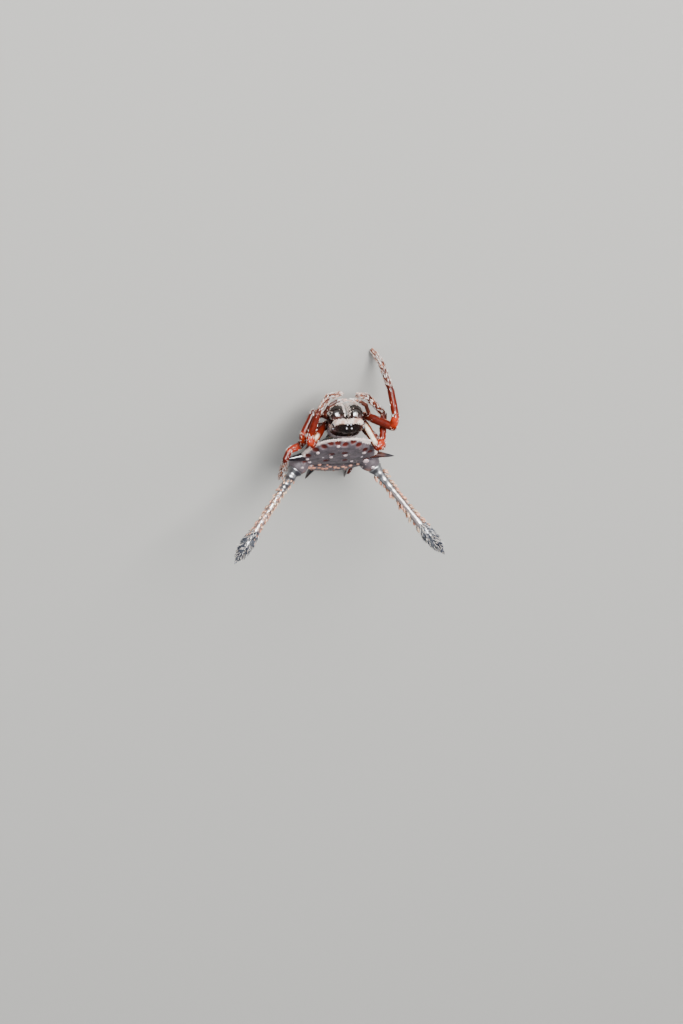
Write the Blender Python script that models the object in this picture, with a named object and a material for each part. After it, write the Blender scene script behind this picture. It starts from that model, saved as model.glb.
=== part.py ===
# A long-spined spiny orb weaver (a female Gasteracantha), still and life size, as solid pieces.
#
# Everything is measured in the spider's own axes: the origin lies midway between its four middle
# eyes, -Y is ahead of it, +X is its left and +Z is up out of its back. At the end one empty pitches
# the whole animal nose up and lifts it, so that its standing feet rest on the plane z = 0.

import math
import random

import bmesh
import bpy
from mathutils import Matrix, Vector

MM = 0.001
JOINT_GAP = 0.05 * MM
NOSE_UP = math.radians(12.0)

# Abdomen: a hard, tilted shield, oval in plan, with a thick round edge and a conical belly.
ABDOMEN_WIDEST_Y = 4.3 * MM
ABDOMEN_HALF_WIDTH = 3.1 * MM
ABDOMEN_FRONT_LENGTH = 3.5 * MM
ABDOMEN_REAR_LENGTH = 2.3 * MM
ABDOMEN_TOP_Z = 1.0 * MM
ABDOMEN_TOP_Y = 1.2 * MM
ABDOMEN_SLOPE = 0.263
ABDOMEN_CROWN = 0.12 * MM
RIM_THICKNESS = 0.7 * MM
BELLY_DEPTH = 1.6 * MM
ABDOMEN_SIDES = 40
CORNER_SIDES = 16
LONG_SPINE_SIDES = 10

# Rings of the shield's upper and lower face, edge rounding included: share of the oval, and how far
# the ring lies in from the flat face, in millimetres.
SHIELD_RINGS = ((0.30, 0.0), (0.60, 0.0), (0.80, 0.0), (0.90, 0.03), (0.96, 0.12), (0.99, 0.24))
BELLY_RINGS = (
    (0.99, 0.24), (0.96, 0.12), (0.90, 0.03), (0.78, 0.0), (0.62, 0.0), (0.44, 0.0), (0.24, 0.0),
)

# Long median spines: root on the edge of the shield, axis, and the club near the tip.
SPINE_ROOT = Vector((3.21, 5.22, 0.23)) * MM
SPINE_REACH = Vector((5.44, 3.60, 6.25)) * MM
SPINE_SHAFT_RADIUS = 0.28 * MM
SPINE_CLUB_RADIUS = 0.47 * MM

# The broad corner of the shield that carries each long spine: distance from the root along the
# spine's axis and radius, in millimetres.
CORNER_PROFILE = ((-1.35, 0.0), (-1.20, 0.50), (-0.85, 0.78), (-0.45, 0.80), (-0.15, 0.71), (0.05, 0.58))

# Stout bristles lying forward along the long spines. Each band gives its first and last distance
# from the root, the step between rings, the bristles in a ring, their length, root radius and lean.
BRISTLE_BANDS = (
    (0.70 * MM, 6.20 * MM, 0.55 * MM, 5, 0.50 * MM, 0.09 * MM, math.radians(22.0)),
    (6.50 * MM, 8.10 * MM, 0.50 * MM, 6, 0.42 * MM, 0.07 * MM, math.radians(38.0)),
)
BRISTLE_SINK = 0.07 * MM
BRISTLE_SEED = 7

# Granules: small round warts on the rear margin and on the flat of the shield.
MARGIN_GRANULES = 15
MARGIN_START = math.radians(45.0)
MARGIN_SPAN = math.radians(90.0)
MARGIN_GRANULE_RADIUS = 0.12 * MM
FLAT_GRANULES = (
    (0.35, 2.85), (1.65, 2.45), (1.10, 4.10), (0.75, 1.20), (2.35, 4.05), (1.20, 4.90), (0.0, 5.35),
)
FLAT_GRANULE_RADIUS = 0.11 * MM
GRANULE_SEED = 3

# Sigilla: shallow oval pits on the shield's left half, as (x, y) in millimetres, then their size.
SIGILLA = (
    (0.32, 0.98), (0.92, 1.22), (1.48, 1.62), (1.98, 2.12), (2.42, 2.80), (2.68, 3.72), (2.55, 4.55),
    (0.50, 2.45), (0.72, 3.80), (0.55, 5.90), (1.30, 5.65), (1.95, 5.20),
)
SIGILLUM_HALF_LENGTH = 0.19 * MM
SIGILLUM_HALF_WIDTH = 0.13 * MM
SIGILLUM_DEPTH = 0.05 * MM

# Short spines: root, reach and root radius of the front and the rear pair.
FRONT_SPINE_ROOT = Vector((2.85, 3.75, 0.05)) * MM
FRONT_SPINE_REACH = Vector((1.75, 0.15, 0.15)) * MM
REAR_SPINE_ROOT = Vector((1.32, 6.00, -0.68)) * MM
REAR_SPINE_REACH = Vector((0.30, 2.00, -0.07)) * MM
SHORT_SPINE_RADIUS = 0.36 * MM

# The stalk under the front of the abdomen, and the spinnerets at the tip of the belly.
STALK_START = Vector((0.0, 2.30, -1.12)) * MM
STALK_END = Vector((0.0, 3.30, -0.90)) * MM
STALK_RADIUS = 0.26 * MM
SPINNERET_RING_RADIUS = 0.42 * MM
SPINNERET_RADII = (0.13 * MM, 0.13 * MM, 0.08 * MM)
SPINNERETS = ((0.16, -0.14), (-0.16, -0.14), (0.17, 0.16), (-0.17, 0.16))
SPINNERET_LENGTH = 0.42 * MM

# Cephalothorax: sections along Y as (y, half width, underside z, top z), in millimetres.
HEAD_SECTIONS = (
    (-0.34, 0.55, -0.55, -0.30),
    (-0.28, 1.02, -0.66, -0.10),
    (-0.10, 1.19, -0.72, 0.02),
    (0.20, 1.29, -0.74, 0.15),
    (0.48, 1.34, -0.80, 0.24),
    (0.62, 1.36, -1.55, 0.26),
    (1.00, 1.34, -1.72, 0.24),
    (1.50, 1.28, -1.78, 0.03),
    (2.00, 1.10, -1.74, -0.32),
    (2.40, 0.78, -1.62, -0.74),
    (2.62, 0.36, -1.40, -1.05),
)
HEAD_SIDES = 24
HEAD_SQUARENESS = 2.6

# Eyes: place on the left side and radius, in millimetres.
EYES = {
    "eye_front_median": (Vector((0.14, -0.17, -0.05)), 0.12),
    "eye_rear_median": (Vector((0.20, 0.06, 0.14)), 0.12),
    "eye_front_lateral": (Vector((1.23, -0.03, -0.22)), 0.11),
    "eye_rear_lateral": (Vector((1.25, 0.24, -0.01)), 0.11),
}

# Chelicerae: stations down the left one as (x, y, z, half width, half depth), in millimetres.
CHELICERA_STATIONS = (
    (0.72, 0.08, -0.62, 0.52, 0.30),
    (0.72, -0.02, -0.80, 0.59, 0.42),
    (0.73, -0.06, -1.20, 0.62, 0.49),
    (0.71, -0.02, -1.65, 0.60, 0.46),
    (0.63, 0.06, -1.98, 0.48, 0.36),
    (0.56, 0.14, -2.14, 0.28, 0.20),
)
FANG_STATIONS = (
    (0.62, 0.08, -2.00, 0.12),
    (0.46, 0.16, -2.24, 0.10),
    (0.24, 0.26, -2.26, 0.05),
    (0.12, 0.32, -2.20, 0.02),
)

# Palps: the joints of the left one, root to tip, and their radii, in millimetres.
PALP_JOINTS = (
    (1.05, 0.66, -1.22),
    (1.58, 0.38, -1.24),
    (1.79, -0.18, -1.12),
    (1.50, -0.76, -1.46),
    (0.90, -1.02, -1.68),
    (0.26, -1.12, -1.68),
)
PALP_RADII = (0.19, 0.20, 0.21, 0.22, 0.21, 0.13)

# Legs: where each coxa leaves the body, on the left side, then thickness against the first leg.
HIPS = {
    1: Vector((1.05, 0.98, -1.54)) * MM,
    2: Vector((1.12, 1.44, -1.50)) * MM,
    3: Vector((1.05, 1.88, -1.52)) * MM,
    4: Vector((0.76, 2.30, -1.52)) * MM,
}
LEG_THICKNESS = {1: 1.0, 2: 0.96, 3: 0.88, 4: 0.94}

ROD_SIDES = 8

# Half widths of the seven leg pieces of the first leg as (start, middle, end), in millimetres.
LEG_RADII = (
    (0.20, 0.21, 0.21),
    (0.21, 0.22, 0.22),
    (0.23, 0.34, 0.32),
    (0.31, 0.34, 0.30),
    (0.27, 0.29, 0.27),
    (0.25, 0.23, 0.23),
    (0.23, 0.22, 0.17),
)

# Pose of each leg in millimetres: end of the coxa, end of the trochanter, knee, end of the patella,
# end of the tibia, bend of the foot, and tip. A standing leg gives only x and y for its tip.
POSES = {
    "leg_1_right": (
        (-1.38, 0.88, -1.62), (-1.66, 0.74, -1.62), (-3.62, 0.19, 0.06), (-3.80, -0.44, -0.50),
        (-3.51, -1.55, -2.29), (-2.85, -2.62, -4.20), (-2.28, -2.88),
    ),
    "leg_1_left": (
        (1.46, 0.86, -1.76), (1.86, 0.90, -1.92), (3.14, 2.08, -0.21), (3.30, 1.42, -0.41),
        (2.39, 0.44, -1.76), (1.78, 2.18, -3.00), (1.26, 3.39),
    ),
    "leg_2_right": (
        (-1.46, 1.42, -1.62), (-1.76, 1.38, -1.54), (-2.47, 1.45, 1.09), (-2.90, 1.24, 0.57),
        (-3.32, 0.68, -1.56), (-1.96, -0.30, -2.55), (-1.10, -0.62, -2.50),
    ),
    "leg_2_left": (
        (1.36, 1.46, -1.38), (1.50, 1.44, -1.14), (2.83, 1.50, 0.59), (2.93, 1.08, 0.08),
        (2.36, -0.22, -1.12), (1.32, -0.54, -2.48), (0.26, -0.66, -2.64),
    ),
    "leg_3_right": (
        (-1.40, 1.94, -1.64), (-1.68, 2.00, -1.64), (-3.20, 2.50, 0.28), (-3.50, 2.92, -0.22),
        (-3.10, 3.55, -1.80), (-2.72, 4.20, -2.90), (-2.40, 4.60),
    ),
    "leg_3_left": (
        (1.40, 1.94, -1.64), (1.68, 2.04, -1.62), (3.27, 2.91, -0.39), (4.14, 2.89, 0.01),
        (4.56, 3.34, 0.64), (4.60, 4.60, 0.86), (4.50, 5.45, 0.82),
    ),
    "leg_4_right": (
        (-1.06, 2.50, -1.68), (-1.32, 2.72, -1.86), (-1.85, 5.90, -1.47), (-2.02, 6.80, -1.19),
        (-2.05, 8.00, -1.35), (-2.35, 9.10, -2.16), (-2.50, 9.60),
    ),
    "leg_4_left": (
        (1.06, 2.50, -1.68), (1.32, 2.72, -1.84), (1.85, 5.60, -1.50), (2.02, 6.45, -1.36),
        (2.12, 7.60, -1.70), (2.35, 8.70, -2.26), (2.40, 9.20),
    ),
}
STANDING = ("leg_1_right", "leg_1_left", "leg_3_right", "leg_4_right", "leg_4_left")
FRONT_FOOT = Vector((-2.28, -2.88, -5.18)) * MM

BLACK_SHELL = (0.020, 0.014, 0.013)
LEG_RED = (0.235, 0.040, 0.020)
SHIELD_GREY = (0.300, 0.255, 0.270)
SPINE_BLACK = (0.035, 0.024, 0.028)
EYE_BLACK = (0.004, 0.004, 0.005)


def on_left(name):
    return not name.endswith("right")


def mirrored(point):
    return Vector((-point[0], point[1], point[2]))


def floor_height(y):
    """The floor's z under a place y, in the spider's own axes."""
    return FRONT_FOOT.z + math.tan(NOSE_UP) * (y - FRONT_FOOT.y)


def add_object(name, mesh):
    """Turn a bmesh in the spider's axes into an object of the scene."""
    bmesh.ops.triangulate(mesh, faces=mesh.faces)
    bmesh.ops.recalc_face_normals(mesh, faces=mesh.faces)
    data = bpy.data.meshes.new(name)
    mesh.to_mesh(data)
    mesh.free()
    body = bpy.data.objects.new(name, data)
    bpy.context.scene.collection.objects.link(body)
    return body


def loft(rings, first_end=None, last_end=None):
    """A closed skin over rings of points; each end is a point, or a flat face where none is given."""
    mesh = bmesh.new()
    loops = [[mesh.verts.new(point) for point in ring] for ring in rings]
    count = len(rings[0])
    for lower, upper in zip(loops, loops[1:]):
        for i in range(count):
            j = (i + 1) % count
            mesh.faces.new((lower[i], lower[j], upper[j], upper[i]))
    for loop, end in ((loops[0], first_end), (loops[-1], last_end)):
        if end is None:
            mesh.faces.new(loop)
            continue
        tip = mesh.verts.new(end)
        for i in range(count):
            mesh.faces.new((loop[i], loop[(i + 1) % count], tip))
    return mesh


def swell(mesh, amount):
    """Move a closed mesh outwards by an even amount, as clearance for its neighbours."""
    bmesh.ops.recalc_face_normals(mesh, faces=mesh.faces)
    mesh.normal_update()
    moves = [(vertex, amount * vertex.calc_shell_factor() * vertex.normal) for vertex in mesh.verts]
    for vertex, move in moves:
        vertex.co += move
    return mesh


def ring_around(centre, across, beside, sides, radius):
    """Points of a circle about a centre, in the plane of two directions."""
    points = []
    for i in range(sides):
        angle = 2.0 * math.pi * i / sides
        points.append(centre + radius * (math.cos(angle) * across + math.sin(angle) * beside))
    return points


def tube(stations, sides):
    """A round bar through stations of (point, radius); an end of radius zero is a point, else flat."""
    points = [Vector(point) for point, _ in stations]
    headings = [(after - before).normalized() for before, after in zip(points, points[1:])]
    across = headings[0].orthogonal().normalized()
    rings = []
    for index, (point, (_, radius)) in enumerate(zip(points, stations)):
        before = headings[max(index - 1, 0)]
        after = headings[min(index, len(headings) - 1)]
        heading = (before + after).normalized()
        across = (across - across.dot(heading) * heading).normalized()
        if radius > 0.0:
            rings.append(ring_around(point, across, heading.cross(across), sides, radius))
    first_end = points[0] if stations[0][1] == 0.0 else None
    last_end = points[-1] if stations[-1][1] == 0.0 else None
    return loft(rings, first_end, last_end)


def rod(start, end, radii, sides=ROD_SIDES):
    """A leg piece: a straight bar between two joints, with round ends and a fuller middle."""
    start = Vector(start)
    end = Vector(end)
    along = (end - start).normalized()
    first, middle, last = radii
    stations = (
        (start - 0.80 * first * along, 0.0),
        (start - 0.30 * first * along, 0.88 * first),
        (start.lerp(end, 0.35), middle),
        (start.lerp(end, 0.75), 0.5 * (middle + last)),
        (end + 0.30 * last * along, 0.88 * last),
        (end + 0.80 * last * along, 0.0),
    )
    return tube(stations, sides)


def bake(body):
    """Replace an object's mesh with what its modifiers make of it."""
    bpy.context.view_layer.update()
    depsgraph = bpy.context.evaluated_depsgraph_get()
    baked = bpy.data.meshes.new_from_object(body.evaluated_get(depsgraph))
    body.modifiers.clear()
    body.data = baked


def keep_largest(body):
    """Drop every closed surface of a mesh except the one with the most area."""
    mesh = bmesh.new()
    mesh.from_mesh(body.data)
    unseen = set(mesh.faces)
    islands = []
    while unseen:
        edge_of_search = [unseen.pop()]
        island = set(edge_of_search)
        while edge_of_search:
            face = edge_of_search.pop()
            for edge in face.edges:
                for other in edge.link_faces:
                    if other in unseen:
                        unseen.remove(other)
                        island.add(other)
                        edge_of_search.append(other)
        islands.append(island)
    islands.sort(key=lambda faces: sum(face.calc_area() for face in faces), reverse=True)
    loose = [face for island in islands[1:] for face in island]
    bmesh.ops.delete(mesh, geom=loose, context="FACES")
    bmesh.ops.triangulate(mesh, faces=mesh.faces)
    mesh.to_mesh(body.data)
    mesh.free()


def fuse(name, pieces):
    """One closed body from overlapping closed pieces."""
    body = pieces[0]
    body.name = name
    group = bpy.data.collections.new(name + "_pieces")
    bpy.context.scene.collection.children.link(group)
    for piece in pieces[1:]:
        bpy.context.scene.collection.objects.unlink(piece)
        group.objects.link(piece)
    union = body.modifiers.new("join", "BOOLEAN")
    union.operation = "UNION"
    union.solver = "EXACT"
    union.operand_type = "COLLECTION"
    union.collection = group
    bake(body)
    for piece in pieces[1:]:
        bpy.data.objects.remove(piece)
    bpy.data.collections.remove(group)
    keep_largest(body)
    return body


def carve(body, cutters):
    """Cut a body clear of some closed shapes, such as a slightly swollen copy of a neighbour."""
    group = bpy.data.collections.new(body.name + "_cutters")
    bpy.context.scene.collection.children.link(group)
    for cutter in cutters:
        bpy.context.scene.collection.objects.unlink(cutter)
        group.objects.link(cutter)
    cut = body.modifiers.new("clear", "BOOLEAN")
    cut.operation = "DIFFERENCE"
    cut.solver = "EXACT"
    cut.operand_type = "COLLECTION"
    cut.collection = group
    bake(body)
    for cutter in cutters:
        bpy.data.objects.remove(cutter)
    bpy.data.collections.remove(group)
    keep_largest(body)


def finish(body, colour, roughness):
    """Give a node its plain colour and shade its round sides smooth."""
    material = bpy.data.materials.new(body.name)
    material.use_nodes = True
    shader = material.node_tree.nodes["Principled BSDF"]
    shader.inputs["Base Color"].default_value = (*colour, 1.0)
    shader.inputs["Roughness"].default_value = roughness
    shader.inputs["Metallic"].default_value = 0.0
    body.data.materials.clear()
    body.data.materials.append(material)
    body.data.shade_smooth()
    body.data.set_sharp_from_angle(angle=math.radians(40.0))
    return body


def abdomen_edge(angle, scale):
    """Plan position on the shield's oval at an angle, drawn in towards its middle by a scale."""
    reach = ABDOMEN_REAR_LENGTH if math.sin(angle) > 0.0 else ABDOMEN_FRONT_LENGTH
    x = ABDOMEN_HALF_WIDTH * scale * math.cos(angle)
    y = ABDOMEN_WIDEST_Y + reach * scale * math.sin(angle)
    return x, y


def abdomen_top(y, scale):
    """Height of the shield's upper face, which slopes down to the rear and is slightly domed."""
    slope = ABDOMEN_TOP_Z - ABDOMEN_SLOPE * (y - ABDOMEN_TOP_Y)
    return slope + ABDOMEN_CROWN * (1.0 - scale * scale)


def abdomen_underside(y, scale):
    """Height of the underside: the lower side of the thick edge, then the cone of the belly."""
    edge = abdomen_top(y, 1.0) - RIM_THICKNESS
    return edge - BELLY_DEPTH * (1.0 - scale * scale) ** 3


def abdomen_shell(grow=0.0):
    """The shield and belly as one closed mesh, swollen by a given amount."""
    angles = [2.0 * math.pi * i / ABDOMEN_SIDES for i in range(ABDOMEN_SIDES)]
    rings = []
    for scale, drop in SHIELD_RINGS:
        places = [abdomen_edge(angle, scale) for angle in angles]
        rings.append([Vector((x, y, abdomen_top(y, scale) - drop * MM)) for x, y in places])
    places = [abdomen_edge(angle, 1.0) for angle in angles]
    rings.append([Vector((x, y, abdomen_top(y, 1.0) - 0.5 * RIM_THICKNESS)) for x, y in places])
    for scale, rise in BELLY_RINGS:
        places = [abdomen_edge(angle, scale) for angle in angles]
        rings.append([Vector((x, y, abdomen_underside(y, scale) + rise * MM)) for x, y in places])
    top = Vector((0.0, ABDOMEN_WIDEST_Y, abdomen_top(ABDOMEN_WIDEST_Y, 0.0)))
    bottom = Vector((0.0, ABDOMEN_WIDEST_Y, abdomen_underside(ABDOMEN_WIDEST_Y, 0.0)))
    return swell(loft(rings, top, bottom), grow)


def cephalothorax_shell(grow=0.0):
    """The front body from its sections along Y, swollen by a given amount."""
    rings = []
    for y, half_width, low, high in HEAD_SECTIONS:
        middle = 0.5 * (low + high)
        half_height = 0.5 * (high - low)
        ring = []
        for i in range(HEAD_SIDES):
            angle = 2.0 * math.pi * i / HEAD_SIDES
            across = math.copysign(abs(math.cos(angle)) ** (2.0 / HEAD_SQUARENESS), math.cos(angle))
            up = math.copysign(abs(math.sin(angle)) ** (2.0 / HEAD_SQUARENESS), math.sin(angle))
            ring.append(Vector((half_width * across, y, middle + half_height * up)) * MM)
        rings.append(ring)
    first = HEAD_SECTIONS[0]
    last = HEAD_SECTIONS[-1]
    front = Vector((0.0, first[0] - 0.02, 0.5 * (first[2] + first[3]))) * MM
    rear = Vector((0.0, last[0] + 0.05, 0.5 * (last[2] + last[3]))) * MM
    return swell(loft(rings, front, rear), grow)


def head_cutter():
    return add_object("cutter", cephalothorax_shell(JOINT_GAP))


def make_cephalothorax():
    shell = add_object("cephalothorax", cephalothorax_shell())
    return finish(shell, BLACK_SHELL, 0.25)


def make_eyes():
    for name, (place, radius) in EYES.items():
        for side, centre in (("left", place * MM), ("right", mirrored(place * MM))):
            mesh = bmesh.new()
            bmesh.ops.create_icosphere(mesh, subdivisions=2, radius=radius * MM)
            bmesh.ops.translate(mesh, verts=mesh.verts, vec=centre)
            eye = add_object(f"{name}_{side}", mesh)
            carve(eye, [head_cutter()])
            finish(eye, EYE_BLACK, 0.05)


def chelicera_shell(sign):
    """One chelicera: rings down a short, bulging column."""
    sides = 14
    rings = []
    for x, y, z, half_width, half_depth in CHELICERA_STATIONS:
        ring = []
        for i in range(sides):
            angle = 2.0 * math.pi * i / sides
            across = sign * x + half_width * math.cos(angle)
            ahead = y + half_depth * math.sin(angle)
            ring.append(Vector((across, ahead, z)) * MM)
        rings.append(ring)
    return loft(rings)


def make_chelicerae():
    for side, sign in (("left", 1.0), ("right", -1.0)):
        base = add_object(f"chelicera_{side}", chelicera_shell(sign))
        stations = [(Vector((sign * x, y, z)) * MM, radius * MM) for x, y, z, radius in FANG_STATIONS]
        stations.insert(0, (stations[0][0] + Vector((0.0, 0.0, 0.1 * MM)), 0.0))
        stations[-1] = (stations[-1][0], 0.0)
        fang = add_object("fang", tube(stations, 6))
        chelicera = fuse(f"chelicera_{side}", [base, fang])
        carve(chelicera, [head_cutter()])
        finish(chelicera, BLACK_SHELL, 0.2)


def make_palps():
    for side, sign in (("left", 1.0), ("right", -1.0)):
        joints = [Vector((sign * x, y, z)) * MM for x, y, z in PALP_JOINTS]
        pieces = []
        for index, (start, end) in enumerate(zip(joints, joints[1:])):
            first = PALP_RADII[index] * MM
            last = PALP_RADII[index + 1] * MM
            piece = add_object("palp_piece", rod(start, end, (first, 0.5 * (first + last), last)))
            pieces.append(piece)
        palp = fuse(f"palp_{side}", pieces)
        carve(palp, [head_cutter()])
        finish(palp, LEG_RED, 0.45)


def cut_foot(body):
    """Flatten the sole of a standing leg on the plane of the floor."""
    mesh = bmesh.new()
    mesh.from_mesh(body.data)
    normal = Vector((0.0, -math.sin(NOSE_UP), math.cos(NOSE_UP)))
    everything = mesh.verts[:] + mesh.edges[:] + mesh.faces[:]
    cut = bmesh.ops.bisect_plane(
        mesh, geom=everything, dist=1e-9, plane_co=FRONT_FOOT, plane_no=normal, clear_inner=True)
    rim = [item for item in cut["geom_cut"] if isinstance(item, bmesh.types.BMEdge)]
    bmesh.ops.holes_fill(mesh, edges=rim, sides=0)
    bmesh.ops.triangulate(mesh, faces=mesh.faces)
    bmesh.ops.recalc_face_normals(mesh, faces=mesh.faces)
    mesh.to_mesh(body.data)
    mesh.free()


def leg_joints(name):
    """The joints of one leg from the body to the tip, in metres."""
    hip = HIPS[int(name.split("_")[1])]
    joints = [hip if on_left(name) else mirrored(hip)]
    for place in POSES[name]:
        if len(place) == 3:
            joints.append(Vector(place) * MM)
        else:
            x, y = place[0] * MM, place[1] * MM
            joints.append(Vector((x, y, floor_height(y))))
    return joints


def make_legs():
    for name in POSES:
        thickness = LEG_THICKNESS[int(name.split("_")[1])]
        joints = leg_joints(name)
        pieces = []
        for start, end, radii in zip(joints, joints[1:], LEG_RADII):
            scaled = [radius * thickness * MM for radius in radii]
            pieces.append(add_object("leg_piece", rod(start, end, scaled)))
        leg = fuse(name, pieces)
        carve(leg, [head_cutter()])
        if name in STANDING:
            cut_foot(leg)
        finish(leg, LEG_RED, 0.35)


def cone(root, reach, radius, sides=8, sink=0.35):
    """A tapering spine whose root is sunk behind its starting point."""
    start = root - sink * reach
    stations = [(start - 0.02 * reach, 0.0), (start, radius)]
    for share, width in ((0.25, 0.78), (0.55, 0.52), (0.82, 0.27)):
        stations.append((root + share * reach, width * radius))
    stations.append((root + reach, 0.0))
    return tube(stations, sides)


def long_spine_axis(sign):
    """Root and direction of a long spine on one side."""
    flip = Vector((sign, 1.0, 1.0))
    return SPINE_ROOT * flip, (SPINE_REACH * flip).normalized()


def on_shield(x, y):
    """The point of the shield's upper face over a place in plan."""
    reach = ABDOMEN_REAR_LENGTH if y > ABDOMEN_WIDEST_Y else ABDOMEN_FRONT_LENGTH
    scale = math.hypot(x / ABDOMEN_HALF_WIDTH, (y - ABDOMEN_WIDEST_Y) / reach)
    return Vector((x, y, abdomen_top(y, scale)))


def granule(centre, radius):
    mesh = bmesh.new()
    bmesh.ops.create_icosphere(mesh, subdivisions=1, radius=radius)
    bmesh.ops.translate(mesh, verts=mesh.verts, vec=centre)
    return add_object("granule", mesh)


def granules():
    """Warts along the rear edge between the two corners, and a few pairs on the flat."""
    chance = random.Random(GRANULE_SEED)
    warts = []
    for i in range(MARGIN_GRANULES):
        angle = MARGIN_START + MARGIN_SPAN * (i + chance.uniform(-0.25, 0.25)) / (MARGIN_GRANULES - 1)
        x, y = abdomen_edge(angle, chance.uniform(0.95, 1.0))
        height = abdomen_top(y, 1.0) - chance.uniform(0.2, 0.45) * RIM_THICKNESS
        warts.append(granule(Vector((x, y, height)), MARGIN_GRANULE_RADIUS * chance.uniform(0.85, 1.15)))
    for x, y in FLAT_GRANULES:
        for sign in ((1.0, -1.0) if x > 0.0 else (1.0,)):
            centre = on_shield(sign * x * MM, y * MM)
            warts.append(granule(centre, FLAT_GRANULE_RADIUS * chance.uniform(0.85, 1.15)))
    return warts


def sigillum_cutters():
    """Flattened balls that press the oval pits into the shield, longer across the line to its middle."""
    cutters = []
    for x, y in SIGILLA:
        for sign in (1.0, -1.0):
            centre = on_shield(sign * x * MM, y * MM)
            turn = math.atan2(centre.y - ABDOMEN_WIDEST_Y, centre.x) + 0.5 * math.pi
            mesh = bmesh.new()
            bmesh.ops.create_uvsphere(mesh, u_segments=8, v_segments=4, radius=1.0)
            size = Matrix.Diagonal((SIGILLUM_HALF_LENGTH, SIGILLUM_HALF_WIDTH, SIGILLUM_DEPTH, 1.0))
            tilt = Matrix.Rotation(-math.atan(ABDOMEN_SLOPE), 4, "X")
            place = Matrix.Translation(centre) @ tilt @ Matrix.Rotation(turn, 4, "Z") @ size
            bmesh.ops.transform(mesh, matrix=place, verts=mesh.verts)
            cutters.append(add_object("cutter", mesh))
    return cutters


def make_abdomen():
    pieces = [add_object("abdomen", abdomen_shell())] + granules()
    for sign in (1.0, -1.0):
        flip = Vector((sign, 1.0, 1.0))
        pieces.append(add_object("front_spine", cone(
            FRONT_SPINE_ROOT * flip, FRONT_SPINE_REACH * flip, SHORT_SPINE_RADIUS)))
        pieces.append(add_object("rear_spine", cone(
            REAR_SPINE_ROOT * flip, REAR_SPINE_REACH * flip, SHORT_SPINE_RADIUS)))
        root, along = long_spine_axis(sign)
        corner = [(root + distance * MM * along, radius * MM) for distance, radius in CORNER_PROFILE]
        pieces.append(add_object("corner", tube(corner, CORNER_SIDES)))
    pieces.append(add_object("stalk", rod(STALK_START, STALK_END, [STALK_RADIUS] * 3)))
    abdomen = fuse("abdomen", pieces)
    carve(abdomen, [head_cutter()] + sigillum_cutters())
    finish(abdomen, SHIELD_GREY, 0.45)


def long_spine_profile():
    """Distance from the root and radius along a long spine: shaft, club near the tip, thin point."""
    base = CORNER_PROFILE[-1][0] * MM + JOINT_GAP
    tip = SPINE_REACH.length
    shaft = SPINE_SHAFT_RADIUS
    club = SPINE_CLUB_RADIUS
    shares = (
        (0.045, 1.60 * shaft), (0.10, 1.25 * shaft), (0.18, 1.05 * shaft), (0.30, shaft), (0.50, shaft),
        (0.60, 1.10 * shaft), (0.68, 0.80 * club), (0.75, club), (0.82, 0.94 * club),
        (0.88, 0.66 * club), (0.925, 0.34 * club), (0.96, 0.20 * club), (1.0, 0.0),
    )
    profile = [(base, CORNER_PROFILE[-1][1] * MM)]
    profile += [(base + share * (tip - base), radius) for share, radius in shares]
    return profile


def radius_at(profile, distance):
    """The radius of a long spine's shaft at a distance from its root."""
    for (before, first), (after, last) in zip(profile, profile[1:]):
        if distance <= after:
            return first + (last - first) * (distance - before) / (after - before)
    return 0.0


def bristles(root, along, profile, chance):
    """Stout bristles in staggered rings, leaning towards the tip, each sunk in the shaft."""
    across = along.orthogonal().normalized()
    beside = along.cross(across)
    grown = []
    for first, last, step, in_ring, length, radius, lean in BRISTLE_BANDS:
        for ring in range(int((last - first) / step) + 1):
            for i in range(in_ring):
                distance = first + step * ring + chance.uniform(-0.12, 0.12) * step
                angle = 2.0 * math.pi * (i + 0.5 * (ring % 2) + chance.uniform(-0.12, 0.12)) / in_ring
                outward = math.cos(angle) * across + math.sin(angle) * beside
                heading = math.cos(lean) * along + math.sin(lean) * outward
                start = root + distance * along + (radius_at(profile, distance) - BRISTLE_SINK) * outward
                reach = length * chance.uniform(0.8, 1.15)
                stations = (
                    (start - 0.1 * reach * heading, 0.0),
                    (start + 0.10 * reach * heading, radius),
                    (start + 0.75 * reach * heading, 0.75 * radius),
                    (start + reach * heading, 0.0),
                )
                grown.append(add_object("bristle", tube(stations, 4)))
    return grown


def make_long_spines():
    profile = long_spine_profile()
    for side, sign in (("left", 1.0), ("right", -1.0)):
        root, along = long_spine_axis(sign)
        stations = [(root + distance * along, radius) for distance, radius in profile]
        shaft = add_object(f"long_spine_{side}", tube(stations, LONG_SPINE_SIDES))
        chance = random.Random(BRISTLE_SEED)
        spine = fuse(f"long_spine_{side}", [shaft] + bristles(root, along, profile, chance))
        finish(spine, SPINE_BLACK, 0.3)


def make_spinnerets():
    """A low ring at the tip of the belly with four short spinnerets that lean together."""
    centre = Vector((0.0, ABDOMEN_WIDEST_Y + 0.15 * MM, abdomen_underside(ABDOMEN_WIDEST_Y, 0.0)))
    height = Vector((0.0, 0.0, 0.6 * SPINNERET_RING_RADIUS))
    ring = rod(centre + height, centre - 0.5 * height, [SPINNERET_RING_RADIUS] * 3, 12)
    pieces = [add_object("ring", ring)]
    for x, y in SPINNERETS:
        start = centre + Vector((x, y, 0.0)) * MM
        end = centre + Vector((0.7 * x * MM, 0.7 * y * MM, -SPINNERET_LENGTH))
        pieces.append(add_object("spinneret", rod(start, end, SPINNERET_RADII, 6)))
    spinnerets = fuse("spinnerets", pieces)
    carve(spinnerets, [add_object("cutter", abdomen_shell(JOINT_GAP))])
    finish(spinnerets, BLACK_SHELL, 0.5)


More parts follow.
